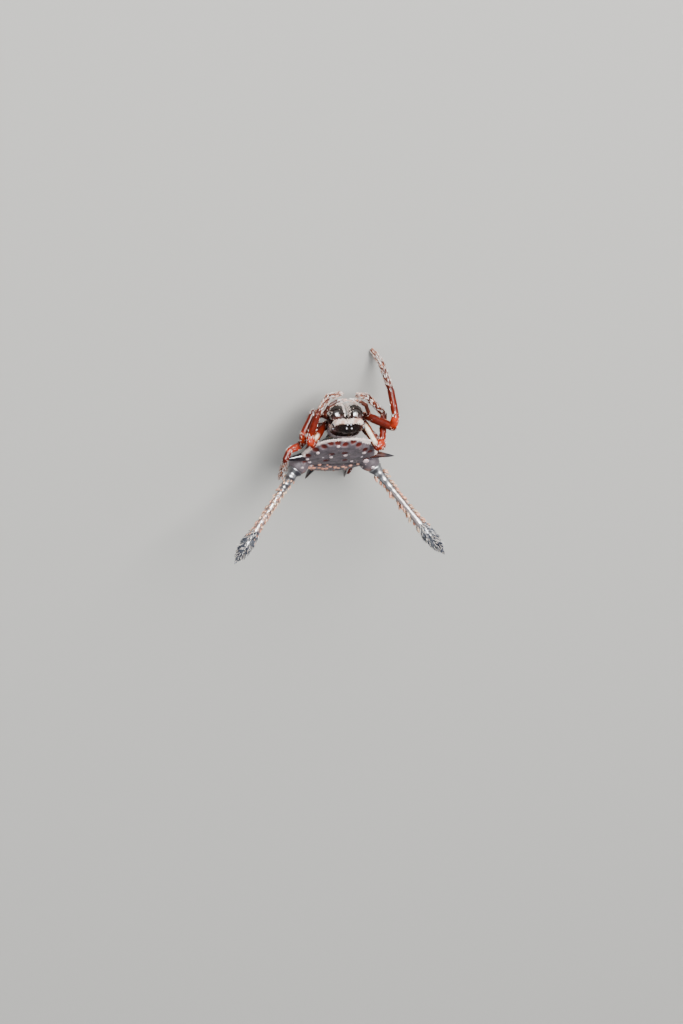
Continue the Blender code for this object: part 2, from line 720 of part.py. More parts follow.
def stand_on_floor():
    """Hang every piece from one empty that pitches the spider and sets it centred on z = 0."""
    stance = bpy.data.objects.new("stance", None)
    bpy.context.scene.collection.objects.link(stance)
    bodies = [body for body in bpy.data.objects if body.type == "MESH"]
    pitch = Matrix.Rotation(-NOSE_UP, 4, "X")
    corners = [pitch @ vertex.co for body in bodies for vertex in body.data.vertices]
    centre_x = 0.5 * (min(point.x for point in corners) + max(point.x for point in corners))
    centre_y = 0.5 * (min(point.y for point in corners) + max(point.y for point in corners))
    floor = (pitch @ FRONT_FOOT).z
    stance.rotation_euler = (-NOSE_UP, 0.0, 0.0)
    stance.location = (-centre_x, -centre_y, -floor)
    for body in bodies:
        body.parent = stance


def build():
    for leftover in list(bpy.data.objects):
        bpy.data.objects.remove(leftover)
    make_cephalothorax()
    make_eyes()
    make_chelicerae()
    make_palps()
    make_legs()
    make_abdomen()
    make_long_spines()
    make_spinnerets()
    stand_on_floor()


build()
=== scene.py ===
# %% [markdown]
# # A long-spined spiny orb weaver
# The animal is about 17 mm wide. Its back is a hard, tilted shield that carries two very long
# spines, each with stout pale bristles and a dark club near the tip. The looks are built here
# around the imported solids, in the same frame. Each step first says what the part is on the real
# spider, then how it can be made in Blender, and why this way was chosen.

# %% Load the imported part
import math
import random

import bmesh
import bpy
import numpy as np
from mathutils import Matrix, Vector, noise


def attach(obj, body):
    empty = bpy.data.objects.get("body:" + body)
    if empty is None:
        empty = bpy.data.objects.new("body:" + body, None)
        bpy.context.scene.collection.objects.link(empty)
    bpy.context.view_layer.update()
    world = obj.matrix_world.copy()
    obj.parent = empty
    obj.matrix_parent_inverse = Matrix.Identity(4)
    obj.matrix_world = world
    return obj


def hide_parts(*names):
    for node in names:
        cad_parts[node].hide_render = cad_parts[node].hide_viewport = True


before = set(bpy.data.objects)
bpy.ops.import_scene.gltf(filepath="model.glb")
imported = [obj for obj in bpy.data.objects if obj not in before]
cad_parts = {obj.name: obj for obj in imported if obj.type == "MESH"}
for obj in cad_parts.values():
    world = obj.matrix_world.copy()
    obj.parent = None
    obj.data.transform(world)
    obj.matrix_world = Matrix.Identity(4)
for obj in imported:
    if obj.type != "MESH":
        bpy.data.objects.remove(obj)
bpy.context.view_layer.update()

SIDES = (("left", 1.0), ("right", -1.0))


def in_millimetres(place):
    """A place of the frame, which is in metres, as rounded millimetres."""
    return [round(1000.0 * value, 2) for value in place]


print("packed solids:", len(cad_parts))

# %% [markdown]
# ## The spider's own axes
# The standing spider holds its nose 12 degrees up, so nothing on it is level in the frame. It could
# be modelled there all the same, but every size would then mix two directions. It is easier to
# model an animal in its own axes and in millimetres: the origin lies midway between the four
# middle eyes, -Y is ahead, +X is its left and +Z is up out of its back. One matrix, STANCE, takes a
# finished mesh from those axes into the frame, in metres. The head solid shows where the origin is.

# %% Find the stance
MM = 0.001
NOSE_UP = math.radians(12.0)
NOSE_Y = -0.36
CROWN_Z = 0.26

turn_back = Matrix.Rotation(NOSE_UP, 3, "X")
head_points = [turn_back @ vertex.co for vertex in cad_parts["cephalothorax"].data.vertices]
across = [point.x for point in head_points]
eye_origin = Vector((
    0.5 * (min(across) + max(across)),
    min(point.y for point in head_points) - NOSE_Y * MM,
    max(point.z for point in head_points) - CROWN_Z * MM,
))
PITCH = Matrix.Rotation(-NOSE_UP, 4, "X")
STANCE = Matrix.Translation(PITCH @ eye_origin) @ PITCH @ Matrix.Scale(MM, 4)
FLOOR_NORMAL = Vector((0.0, -math.sin(NOSE_UP), math.cos(NOSE_UP)))
FLOOR_POINT = STANCE.inverted() @ Vector((0.0, 0.0, 0.0))
print("eyes' centre in the frame, mm:", in_millimetres(STANCE.translation))

# %% [markdown]
# ## Camera
# The photo looks at the spider from ahead, a little from its left and from above, and it is
# turned so that the back of the spider points down the picture. A camera can be turned by three
# angles, but those are hard to read when the picture is upside down. Three directions in the
# spider's own axes say it plainly. They were worked out from the eyes, the knees and the spines.
# A long lens from 32 cm keeps the perspective flat, as a macro lens does.

# %% Place the camera
PICTURE_RIGHT = Vector((-0.9537, -0.2232, 0.2017))
PICTURE_UP = Vector((-0.0339, -0.5866, -0.8091))
TO_CAMERA = Vector((0.2989, -0.7785, 0.5519))
CAMERA_DISTANCE = 319.0
AIM_RIGHT = -0.58
AIM_UP = -6.61
LENS = 145.0
SENSOR_WIDTH = 36.0
NEAREST, FURTHEST = 0.01, 10.0

camera_data = bpy.data.cameras.new("camera")
camera_data.lens = LENS
camera_data.sensor_width = SENSOR_WIDTH
camera_data.clip_start = NEAREST
camera_data.clip_end = FURTHEST
camera = bpy.data.objects.new("camera", camera_data)
bpy.context.scene.collection.objects.link(camera)
eye_point = STANCE @ (CAMERA_DISTANCE * TO_CAMERA)
aim_point = STANCE @ (AIM_RIGHT * PICTURE_RIGHT + AIM_UP * PICTURE_UP)
backward = (eye_point - aim_point).normalized()
upward = PITCH.to_3x3() @ PICTURE_UP
rightward = upward.cross(backward).normalized()
upward = backward.cross(rightward)
turn = Matrix((rightward, upward, backward)).transposed().to_4x4()
camera.matrix_world = Matrix.Translation(eye_point) @ turn
bpy.context.scene.camera = camera
print("camera height above the floor, mm:", round(1000.0 * eye_point.z, 1))

# %% [markdown]
# ## Light
# The photo was lit by a soft flash near the lens, which is why every glossy part shows a bright
# round or oval highlight that faces the camera. Two area lights near the camera light the body
# this way. One strong light would burn out the pale floor before the highlights were white, so a
# third light, the shine, adds to reflections only. It stands between the lens and straight ahead,
# where its reflection falls on the jaws and the spines in the places that the photo shows. Two
# weaker, larger lights and a pale world fill the shadows.

# %% Light the scene
# Name, angle to the spider's left of straight ahead, height in degrees, distance, size, power, colour.
LIGHTS = (
    ("flash", -16.0, 36.0, 0.45, (0.22, 0.28), 4.8, (1.0, 0.98, 0.95)),
    ("low_flash", -4.0, 9.0, 0.42, (0.20, 0.12), 1.3, (1.0, 0.98, 0.96)),
    ("shine", 14.0, 26.0, 0.45, (0.22, 0.22), 15.0, (0.94, 0.98, 1.0)),
    ("right_fill", -75.0, 35.0, 0.55, (0.40, 0.40), 1.4, (0.94, 0.97, 1.0)),
    ("left_fill", 105.0, 40.0, 0.55, (0.50, 0.50), 1.2, (0.92, 0.96, 1.0)),
)
LIT_PLACE = Vector((0.0, 3.0, 0.0))
WORLD_COLOUR = (0.80, 0.84, 0.88, 1.0)
WORLD_STRENGTH = 0.15


def area_light(name, place, target, size, power, colour):
    """A soft rectangular light at a place, facing a target, both in the frame's metres."""
    data = bpy.data.lights.new(name, "AREA")
    data.shape = "RECTANGLE"
    data.size, data.size_y = size
    data.energy = power
    data.color = colour
    light = bpy.data.objects.new(name, data)
    bpy.context.scene.collection.objects.link(light)
    facing = (place - target).to_track_quat("Z", "Y").to_matrix().to_4x4()
    light.matrix_world = Matrix.Translation(place) @ facing
    return light


def from_side(side, height):
    """Direction to a light from its two angles in degrees."""
    side = math.radians(side)
    height = math.radians(height)
    level = math.cos(height)
    return Vector((math.sin(side) * level, -math.cos(side) * level, math.sin(height)))


body_point = STANCE @ LIT_PLACE
for name, side, height, distance, size, power, colour in LIGHTS:
    place = body_point + distance * from_side(side, height)
    light = area_light(name, place, body_point, size, power, colour)
    light.visible_diffuse = name != "shine"

world = bpy.data.worlds.new("studio")
world.use_nodes = True
world.node_tree.nodes["Background"].inputs["Color"].default_value = WORLD_COLOUR
world.node_tree.nodes["Background"].inputs["Strength"].default_value = WORLD_STRENGTH
bpy.context.scene.world = world
print("lights:", ", ".join(entry[0] for entry in LIGHTS))

# %% [markdown]
# ## Floor
# The spider stands on a plain pale sheet. A plane would do, but a large disc has the same edge
# from every side, so that no corner of it comes into view. It lies a hundredth of a millimetre
# low, because two faces at the very same height would flicker where a foot rests.

# %% Lay the floor
FLOOR_RADIUS = 2.5
FLOOR_DROP = 0.00001
FLOOR_COLOUR = (0.46, 0.455, 0.435, 1.0)
FLOOR_ROUGHNESS = 0.9

floor_mesh = bmesh.new()
bmesh.ops.create_circle(floor_mesh, cap_ends=True, segments=96, radius=FLOOR_RADIUS)
floor_data = bpy.data.meshes.new("floor")
floor_mesh.to_mesh(floor_data)
floor_mesh.free()
floor = bpy.data.objects.new("floor", floor_data)
bpy.context.scene.collection.objects.link(floor)
floor.data.transform(Matrix.Translation((0.0, 0.0, -FLOOR_DROP)))
floor_material = bpy.data.materials.new("floor_paper")
floor_material.use_nodes = True
floor_shader = floor_material.node_tree.nodes["Principled BSDF"]
floor_shader.inputs["Base Color"].default_value = FLOOR_COLOUR
floor_shader.inputs["Roughness"].default_value = FLOOR_ROUGHNESS
floor_data.materials.append(floor_material)
print("floor radius, m:", FLOOR_RADIUS)

# %% [markdown]
# ## Finishes
# A spider's shell is a hard cuticle: pigment below, a clear glossy layer above, and a fine grain
# that a lens shows. Each finish could have its own tree of nodes, but they differ only in numbers,
# so one recipe makes them all. The piece's colour comes from a painted attribute, because on this
# animal the colour belongs to places: coral kneecaps, pale stripes, maroon pits. A noise in Object
# coordinates, turned into millimetres, mottles the colour, another roughens the gloss and gives
# the relief. What is the same all over a piece is set on the shader's own sockets.

# %% Define the recipe of a finish
BROAD_GRAIN = 0.45
FINE_GRAIN = 2.0
NOISE_LOW, NOISE_HIGH = 0.3, 0.7
GLOW_SHARES = (1.0, 0.3, 0.2)
GLOW_DEPTH = 0.15


def socket_noise(tree, coordinates, scale, detail):
    """A noise texture read in millimetres."""
    texture = tree.nodes.new("ShaderNodeTexNoise")
    texture.inputs["Scale"].default_value = scale
    texture.inputs["Detail"].default_value = detail
    tree.links.new(coordinates, texture.inputs["Vector"])
    return texture.outputs["Fac"]


def socket_range(tree, value, low, high):
    """The usual span of a noise moved into a range of its own."""
    spread = tree.nodes.new("ShaderNodeMapRange")
    spread.inputs["From Min"].default_value = NOISE_LOW
    spread.inputs["From Max"].default_value = NOISE_HIGH
    spread.inputs["To Min"].default_value = low
    spread.inputs["To Max"].default_value = high
    tree.links.new(value, spread.inputs["Value"])
    return spread.outputs["Result"]


def cuticle(name, roughness, mottle, grain, relief, coat=0.0, gloss=0.10, through=0.0, level=0.5,
            coat_index=1.5):
    """A painted, mottled surface: roughness and mottle are (low, high), relief is in millimetres."""
    material = bpy.data.materials.new(name)
    material.use_nodes = True
    tree = material.node_tree
    shader = tree.nodes["Principled BSDF"]
    colour = tree.nodes.new("ShaderNodeAttribute")
    colour.attribute_name = "paint"
    coordinates = tree.nodes.new("ShaderNodeTexCoord")
    to_mm = tree.nodes.new("ShaderNodeVectorMath")
    to_mm.operation = "SCALE"
    to_mm.inputs["Scale"].default_value = 1.0 / MM
    tree.links.new(coordinates.outputs["Object"], to_mm.inputs[0])
    broad = socket_noise(tree, to_mm.outputs["Vector"], BROAD_GRAIN * grain, 3.0)
    fine = socket_noise(tree, to_mm.outputs["Vector"], FINE_GRAIN * grain, 5.0)
    shade = tree.nodes.new("ShaderNodeVectorMath")
    shade.operation = "SCALE"
    tree.links.new(colour.outputs["Color"], shade.inputs[0])
    tree.links.new(socket_range(tree, broad, *mottle), shade.inputs["Scale"])
    tree.links.new(shade.outputs["Vector"], shader.inputs["Base Color"])
    tree.links.new(socket_range(tree, fine, *roughness), shader.inputs["Roughness"])
    bump = tree.nodes.new("ShaderNodeBump")
    bump.inputs["Strength"].default_value = 1.0
    bump.inputs["Distance"].default_value = relief * MM
    tree.links.new(fine, bump.inputs["Height"])
    tree.links.new(bump.outputs["Normal"], shader.inputs["Normal"])
    shader.inputs["Coat Weight"].default_value = coat
    shader.inputs["Coat Roughness"].default_value = gloss
    shader.inputs["Coat IOR"].default_value = coat_index
    shader.inputs["Specular IOR Level"].default_value = level
    shader.inputs["Subsurface Weight"].default_value = through
    shader.inputs["Subsurface Radius"].default_value = GLOW_SHARES
    shader.inputs["Subsurface Scale"].default_value = GLOW_DEPTH * MM
    return material


trial_finish = cuticle("trial", (0.2, 0.3), (0.9, 1.1), 5.0, 0.004)
print("nodes in a finish:", len(trial_finish.node_tree.nodes))
bpy.data.materials.remove(trial_finish)

# %% [markdown]
# ## The finishes of this spider
# The legs are satin, the head and jaws look wet, the shield is almost matt, and the long spines
# are lacquered. The right spine is smoother than the left one and shows a broader, whiter strip of
# light, so it has a finish of its own. Hairs and bristles are dry and shine little.

# %% Make the finishes
FINISHES = {
    "leg": cuticle(
        "leg_cuticle", roughness=(0.26, 0.40), mottle=(0.60, 1.25), grain=6.0, relief=0.006,
        coat=0.12, gloss=0.12, through=0.02, level=0.06),
    "shell": cuticle(
        "dark_shell", roughness=(0.18, 0.30), mottle=(0.55, 1.35), grain=5.0, relief=0.004,
        coat=0.85, gloss=0.11, level=0.08),
    "shield": cuticle(
        "shield", roughness=(0.42, 0.60), mottle=(0.70, 1.25), grain=4.5, relief=0.012,
        coat=0.12, gloss=0.24, level=0.16),
    "spine": cuticle(
        "black_spine", roughness=(0.16, 0.30), mottle=(0.6, 1.4), grain=5.0, relief=0.006,
        coat=1.0, gloss=0.29, level=0.3, coat_index=1.95),
    "smooth_spine": cuticle(
        "smooth_black_spine", roughness=(0.16, 0.30), mottle=(0.6, 1.4), grain=5.0, relief=0.004,
        coat=1.0, gloss=0.34, level=0.3, coat_index=2.6),
    "bead": cuticle(
        "granule", roughness=(0.12, 0.25), mottle=(0.85, 1.15), grain=8.0, relief=0.004,
        coat=0.8, through=0.1, coat_index=1.6),
    "hair": cuticle(
        "pale_hair", roughness=(0.30, 0.50), mottle=(0.80, 1.15), grain=12.0, relief=0.002, level=0.12),
    "bristle": cuticle(
        "cream_bristle", roughness=(0.16, 0.30), mottle=(0.70, 1.20), grain=10.0, relief=0.004,
        coat=0.20, gloss=0.16, level=0.12),
    "eye": cuticle(
        "eye", roughness=(0.02, 0.05), mottle=(0.8, 1.2), grain=10.0, relief=0.0,
        coat=1.0, gloss=0.04, level=0.4),
}
print("finishes:", ", ".join(FINISHES))

# %% [markdown]
# ## Helpers for round bodies
# Most parts of a spider are round bars that thicken and thin along their length. A cylinder and a
# row of loop cuts would give one, but a spin needs only its profile: `spun` turns pairs of
# (radius, height) round the Z axis, and `between` lays such a bar from one joint to the next.

# %% Define the helpers for round bodies
FULL_TURN = 2.0 * math.pi
DOUBLES = 1e-5


def spun(profile, steps):
    """A closed round body about Z from pairs of (radius, height), whose first and last radius is 0."""
    mesh = bmesh.new()
    vertices = [mesh.verts.new((radius, 0.0, height)) for radius, height in profile]
    edges = [mesh.edges.new(pair) for pair in zip(vertices, vertices[1:])]
    bmesh.ops.spin(mesh, geom=vertices + edges, cent=(0.0, 0.0, 0.0), axis=(0.0, 0.0, 1.0),
                   angle=FULL_TURN, steps=steps, use_merge=True)
    bmesh.ops.remove_doubles(mesh, verts=mesh.verts, dist=DOUBLES)
    bmesh.ops.recalc_face_normals(mesh, faces=mesh.faces)
    return mesh


def between(mesh, start, end):
    """Lay a body built up the Z axis so that its base is at start and Z runs towards end."""
    turned = (Vector(end) - Vector(start)).to_track_quat("Z", "Y").to_matrix().to_4x4()
    bmesh.ops.transform(mesh, matrix=Matrix.Translation(start) @ turned, verts=mesh.verts)
    return mesh


def flipped(place, sign):
    """A place on the left side, or its mirror on the right where the sign is -1."""
    return Vector((sign * place[0], place[1], place[2]))


def as_mesh(body, name):
    """The mesh of a bmesh, which is freed."""
    data = bpy.data.meshes.new(name)
    body.to_mesh(data)
    body.free()
    return data


def joined(bodies):
    """One bmesh that holds several bodies, which are freed."""
    whole = bmesh.new()
    for body in bodies:
        part = as_mesh(body, "part")
        whole.from_mesh(part)
        bpy.data.meshes.remove(part)
    return whole


trial_drum = spun(((0.0, 0.0), (1.0, 0.0), (1.0, 2.0), (0.0, 2.0)), 16)
print("a drum spun in 16 steps:", len(trial_drum.verts), "points,", len(trial_drum.faces), "faces")
trial_drum.free()

# %% [markdown]
# ## Helper for even skins
# Where two pieces of a leg meet, the real shell has a soft crease. A Boolean union would leave a
# sharp one and long thin faces. `even_skin` uses the Remesh modifier in place of it: it melts
# several overlapping closed bodies into one skin with small even faces, and a Smooth modifier
# rounds the creases. The small even faces also take the relief and the paint that follow.

# %% Define the helper for skins
SMOOTHING = 0.5


def even_skin(bodies, voxel, rounds):
    """Melt overlapping closed bodies into one mesh of even faces and smooth it."""
    data = as_mesh(joined(bodies), "rough")
    helper = bpy.data.objects.new("helper", data)
    bpy.context.scene.collection.objects.link(helper)
    melt = helper.modifiers.new("melt", "REMESH")
    melt.mode = "VOXEL"
    melt.voxel_size = voxel
    melt.adaptivity = 0.0
    even = helper.modifiers.new("even", "SMOOTH")
    even.factor = SMOOTHING
    even.iterations = rounds
    bpy.context.view_layer.update()
    skin = bpy.data.meshes.new_from_object(helper.evaluated_get(bpy.context.evaluated_depsgraph_get()))
    bpy.data.objects.remove(helper)
    bpy.data.meshes.remove(data)
    return skin


trial_skin = even_skin([spun(((0.0, 0.0), (0.5, 0.0), (0.5, 1.0), (0.0, 1.0)), 16)], 0.1, 1)
print("the same kind of drum as an even skin:", len(trial_skin.vertices), "points")
bpy.data.meshes.remove(trial_skin)

# %% [markdown]
# ## Helpers for points, soft steps and colours
# Relief and markings are worked out for all points of a mesh at once, as arrays, because a loop
# over a hundred thousand points would be slow. `ramp` is the soft step that most markings use,
# `mixed` blends colours, and `grain_at` gives the slow noise that makes them a little uneven.

# %% Define the helpers for points and colours
def points_of(data):
    """All points of a mesh, one row each."""
    points = np.empty(3 * len(data.vertices))
    data.vertices.foreach_get("co", points)
    return points.reshape(-1, 3)


def set_points(data, points):
    """Put the points of a mesh in new places."""
    data.vertices.foreach_set("co", np.ascontiguousarray(points, dtype=float).ravel())
    data.update()


def normals_of(data):
    """The outward direction at each point of a mesh."""
    normals = np.empty(3 * len(data.vertices))
    data.vertex_normals.foreach_get("vector", normals)
    return normals.reshape(-1, 3)


def unit(vectors):
    """The same directions with a length of 1."""
    return vectors / np.maximum(np.linalg.norm(vectors, axis=-1)[..., None], 1e-9)


def ramp(value, low, high):
    """0 below low, 1 above high and a soft step between, for numbers or whole arrays."""
    share = np.clip((value - low) / (high - low), 0.0, 1.0)
    return share * share * (3.0 - 2.0 * share)


def bell(value, centre, width):
    """1 at the centre, falling softly to 0 on both sides."""
    return np.exp(-(((value - centre) / width) ** 2))


def mixed(first, second, share):
    """Blend two colours, or arrays of colours, by an array of shares."""
    share = np.asarray(share)[..., None]
    return (1.0 - share) * np.asarray(first) + share * np.asarray(second)


def grain_at(points, scale, seed=0.0):
    """Soft noise between about -1 and 1 at each point."""
    shift = Vector((seed, 1.7 * seed, -0.6 * seed))
    return np.array([noise.noise(scale * Vector(point) + shift) for point in points])


def squarer(value, squareness):
    """A sine or cosine bent so that a circle of them becomes a rounded rectangle."""
    return math.copysign(abs(value) ** (2.0 / squareness), value)


print("a soft step in quarters:", [float(ramp(0.25 * quarter, 0.0, 1.0)) for quarter in range(5)])

# %% [markdown]
# ## Handing over a finished piece
# Every piece ends the same way: it is painted, moved from the spider's axes into the frame, and
# laid on the floor where it dips below. Its object stays at the origin, unturned and unscaled, so
# the move goes into the mesh. Then the piece gets its finish, rides on the one body that a still
# model has, and replaces the solid that it stands for.

# %% Define how a piece is finished
def finish(name, data, colours, look, nodes=()):
    """Paint a mesh, move it into the frame, lay on the floor what dips below it and hand it over."""
    layer = data.attributes.new("paint", "FLOAT_COLOR", "POINT")
    rgba = np.ones((len(data.vertices), 4))
    rgba[:, :3] = colours
    layer.data.foreach_set("color", rgba.ravel())
    data.transform(STANCE)
    points = points_of(data)
    points[:, 2] = np.maximum(points[:, 2], 0.0)
    set_points(data, points)
    data.materials.clear()
    data.materials.append(FINISHES[look])
    data.shade_smooth()
    piece = bpy.data.objects.new(name, data)
    data.name = name
    bpy.context.scene.collection.objects.link(piece)
    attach(piece, "root")
    if nodes:
        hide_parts(*nodes)
    print(f"{name}: {sum(len(face.vertices) - 2 for face in data.polygons)} triangles")
    return piece


print("solids to stand for:", len(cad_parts))

# %% [markdown]
# ## Roots of hairs
# A coat grows where the skin says. Blender's particle hair would scatter it, but the export drops
# particles, so the roots are chosen here on the finished skin, more of them where a weight is
# higher. Each hair then lies along a flow over the skin and rises from it by its own angle.

# %% Define where hairs grow and how they lie
def scatter(data, count, weigh, seed):
    """Random places on a mesh: points and normals, chosen by face area times a weight."""
    data.calc_loop_triangles()
    corners = np.empty(3 * len(data.loop_triangles), dtype=np.int32)
    data.loop_triangles.foreach_get("vertices", corners)
    corners = corners.reshape(-1, 3)
    points = points_of(data)[corners]
    normals = normals_of(data)[corners]
    sides = np.cross(points[:, 1] - points[:, 0], points[:, 2] - points[:, 0])
    area = np.linalg.norm(sides, axis=1)
    weight = area * np.clip(weigh(points.mean(axis=1), normals.mean(axis=1)), 0.0, None)
    chance = np.random.default_rng(seed)
    chosen = chance.choice(len(corners), size=count, p=weight / weight.sum())
    shares = chance.dirichlet((1.0, 1.0, 1.0), size=count)[..., None]
    places = (points[chosen] * shares).sum(axis=1)
    outward = (normals[chosen] * shares).sum(axis=1)
    outward /= np.linalg.norm(outward, axis=1)[:, None]
    return places, outward, chance


def leaning(outward, flow, lean):
    """Directions that lie along a flow over the skin and rise from it by an angle."""
    flat = unit(flow - (flow * outward).sum(axis=1)[:, None] * outward)
    return np.cos(lean)[:, None] * flat + np.sin(lean)[:, None] * outward


def turn_share(up, ahead):
    """An angle as a share of a whole turn, from 0 to 1, for the unwrap of a round skin."""
    return 0.5 + np.arctan2(up, ahead) / FULL_TURN


def in_columns(*columns):
    """Arrays set side by side, one row for each hair."""
    return np.stack(columns, axis=1)


print("half a turn is a share of", float(turn_share(0.0, 1.0)))

# %% [markdown]
# ## Hairs and bristles
# A hair is a thin tapering bar that bends as it rises. Thousands of them could be copies of one
# object, but the export drops instances, so `grow` makes one mesh of them from arrays, with one
# row of numbers for each hair. A hair has only a few faces. It also gets a small patch on a UV
# map, at the place of its root on an unwrap of the skin, so that a coat can be painted like its
# skin.

# %% Define how hairs are grown
# Pairs of (share of the length, share of the width) from root to tip.
BLUNT = ((0.0, 0.80), (0.30, 1.00), (0.70, 0.90), (0.92, 0.55))
FINE = ((0.0, 1.00), (0.45, 0.70), (0.80, 0.35))
UV_PATCH = 0.003


def hair_net(rings, sides):
    """Faces of one hair as rows of point numbers, and the corners of each face on the UV patch."""
    tip = rings * sides
    faces = []
    patches = []
    for ring in range(rings):
        low, high = ring / rings, (ring + 1.0) / rings
        for side in range(sides):
            first = ring * sides + side
            second = ring * sides + (side + 1) % sides
            left, right = side / sides, (side + 1.0) / sides
            if ring + 1 < rings:
                faces.append((first, second, second + sides, first + sides))
                patches.append(((left, low), (right, low), (right, high), (left, high)))
            else:
                faces.append((first, second, tip))
                patches.append(((left, low), (right, low), (0.5 * (left + right), high)))
    return faces, patches


def hair_points(roots, headings, outward, lengths, widths, profile, sides, bend, sink):
    """The points of every hair, ring by ring and then the tip."""
    lengths = np.asarray(lengths)[:, None]
    across = unit(np.cross(headings, outward) + 1e-6)
    beside = np.cross(headings, across)
    starts = roots - sink * lengths * headings
    rings = []
    for share, width in profile:
        centre = starts + share * lengths * headings - bend * share * share * lengths * outward
        for side in range(sides):
            angle = FULL_TURN * side / sides
            spoke = math.cos(angle) * across + math.sin(angle) * beside
            rings.append(centre + width * widths[:, None] * spoke)
    ends = starts + lengths * headings - bend * lengths * outward
    return np.stack(rings + [ends], axis=1)


def grow(roots, headings, outward, lengths, widths, uvs, colours, tips,
         profile=FINE, sides=3, bend=0.25, sink=0.1):
    """A mesh of tapering hairs. Every argument up to tips has one row for each hair."""
    count = len(roots)
    points = hair_points(roots, headings, outward, lengths, widths, profile, sides, bend, sink)
    faces, patches = hair_net(len(profile), sides)
    loop_points = np.concatenate([np.array(face) for face in faces])
    loop_patch = np.concatenate([np.array(patch) for patch in patches])
    steps = points.shape[1] * np.arange(count)[:, None]
    totals = np.tile([len(face) for face in faces], count)
    data = bpy.data.meshes.new("coat")
    data.vertices.add(count * points.shape[1])
    data.vertices.foreach_set("co", points.reshape(-1, 3).ravel())
    data.loops.add(count * len(loop_points))
    data.loops.foreach_set("vertex_index", (steps + loop_points[None, :]).ravel().astype(np.int32))
    data.polygons.add(len(totals))
    data.polygons.foreach_set("loop_start", (np.cumsum(totals) - totals).astype(np.int32))
    data.update(calc_edges=True)
    data.validate()
    layer = data.uv_layers.new(name="OFBake")
    spread = (uvs[:, None, :] + UV_PATCH * (loop_patch[None, :, :] - 0.5)).reshape(-1, 2)
    layer.data.foreach_set("uv", spread.ravel())
    shares = np.concatenate([np.full(sides, share) for share, _ in profile] + [np.ones(1)])
    rows = np.tile(shares, (count, 1))
    painted = mixed(np.asarray(colours)[:, None, :], np.asarray(tips)[:, None, :], rows)
    return data, painted.reshape(-1, 3)


def merged_coat(coats):
    """One mesh and its colours from several grown coats."""
    whole = bmesh.new()
    for data, _ in coats:
        whole.from_mesh(data)
    return as_mesh(whole, "coat"), np.concatenate([colours for _, colours in coats])


print("faces of a fine hair:", len(hair_net(len(FINE), 3)[0]))
print("faces of a bristle:", len(hair_net(len(BLUNT), 7)[0]))

# %% [markdown]
# ## Legs and palps
# A spider's leg has seven pieces: coxa, trochanter, femur, patella, tibia, metatarsus and
# tarsus. A palp is a small leg without the metatarsus. The limbs could hang on an armature and be
# bent, but this is a still model, so each is set out by its joints, which are those of the solids.
# A joint with two numbers belongs to a foot that stands, and is dropped onto the floor.

# %% Set out the joints
HIPS = {1: (1.05, 0.98, -1.54), 2: (1.12, 1.44, -1.50), 3: (1.05, 1.88, -1.52), 4: (0.76, 2.30, -1.52)}
POSES = {
    "leg_1_right": (
        (-1.38, 0.88, -1.62), (-1.66, 0.74, -1.62), (-3.62, 0.19, 0.06), (-3.80, -0.44, -0.50),
        (-3.51, -1.55, -2.29), (-2.85, -2.62, -4.20), (-2.28, -2.88)),
    "leg_1_left": (
        (1.46, 0.86, -1.76), (1.86, 0.90, -1.92), (3.14, 2.08, -0.21), (3.30, 1.42, -0.41),
        (2.39, 0.44, -1.76), (1.78, 2.18, -3.00), (1.26, 3.39)),
    "leg_2_right": (
        (-1.46, 1.42, -1.62), (-1.76, 1.38, -1.54), (-2.47, 1.45, 1.09), (-2.90, 1.24, 0.57),
        (-3.32, 0.68, -1.56), (-1.96, -0.30, -2.55), (-1.10, -0.62, -2.50)),
    "leg_2_left": (
        (1.36, 1.46, -1.38), (1.50, 1.44, -1.14), (2.83, 1.50, 0.59), (2.93, 1.08, 0.08),
        (2.36, -0.22, -1.12), (1.32, -0.54, -2.48), (0.26, -0.66, -2.64)),
    "leg_3_right": (
        (-1.40, 1.94, -1.64), (-1.68, 2.00, -1.64), (-3.20, 2.50, 0.28), (-3.50, 2.92, -0.22),
        (-3.10, 3.55, -1.80), (-2.72, 4.20, -2.90), (-2.40, 4.60)),
    "leg_3_left": (
        (1.40, 1.94, -1.64), (1.68, 2.04, -1.62), (3.27, 2.91, -0.39), (4.14, 2.89, 0.01),
        (4.56, 3.34, 0.64), (4.60, 4.60, 0.86), (4.50, 5.45, 0.82)),
    "leg_4_right": (
        (-1.06, 2.50, -1.68), (-1.32, 2.72, -1.86), (-1.85, 5.90, -1.47), (-2.02, 6.80, -1.19),
        (-2.05, 8.00, -1.35), (-2.35, 9.10, -2.16), (-2.50, 9.60)),
    "leg_4_left": (
        (1.06, 2.50, -1.68), (1.32, 2.72, -1.84), (1.85, 5.60, -1.50), (2.02, 6.45, -1.36),
        (2.12, 7.60, -1.70), (2.35, 8.70, -2.26), (2.40, 9.20)),
}
PALP_JOINTS = (
    (1.05, 0.66, -1.22), (1.58, 0.38, -1.24), (1.79, -0.18, -1.12),
    (1.50, -0.76, -1.46), (0.90, -1.02, -1.68), (0.26, -1.12, -1.68),
)


def leg_number(name):
    """1 for the foremost pair to 4 for the last."""
    return int(name.split("_")[1])


def floor_height(y):
    """Height of the floor at a place along the body, in the spider's axes."""
    return FLOOR_POINT.z - (FLOOR_NORMAL.y * (y - FLOOR_POINT.y)) / FLOOR_NORMAL.z


def leg_joints(name):
    """The eight joints of a leg, root to tip."""
    hip = Vector(HIPS[leg_number(name)])
    if name.endswith("right"):
        hip.x = -hip.x
    joints = [hip]
    for place in POSES[name]:
        if len(place) == 2:
            place = (*place, floor_height(place[1]))
        joints.append(Vector(place))
    return joints


standing = [name for name in POSES if len(POSES[name][-1]) == 2]
print("legs that stand:", ", ".join(standing))

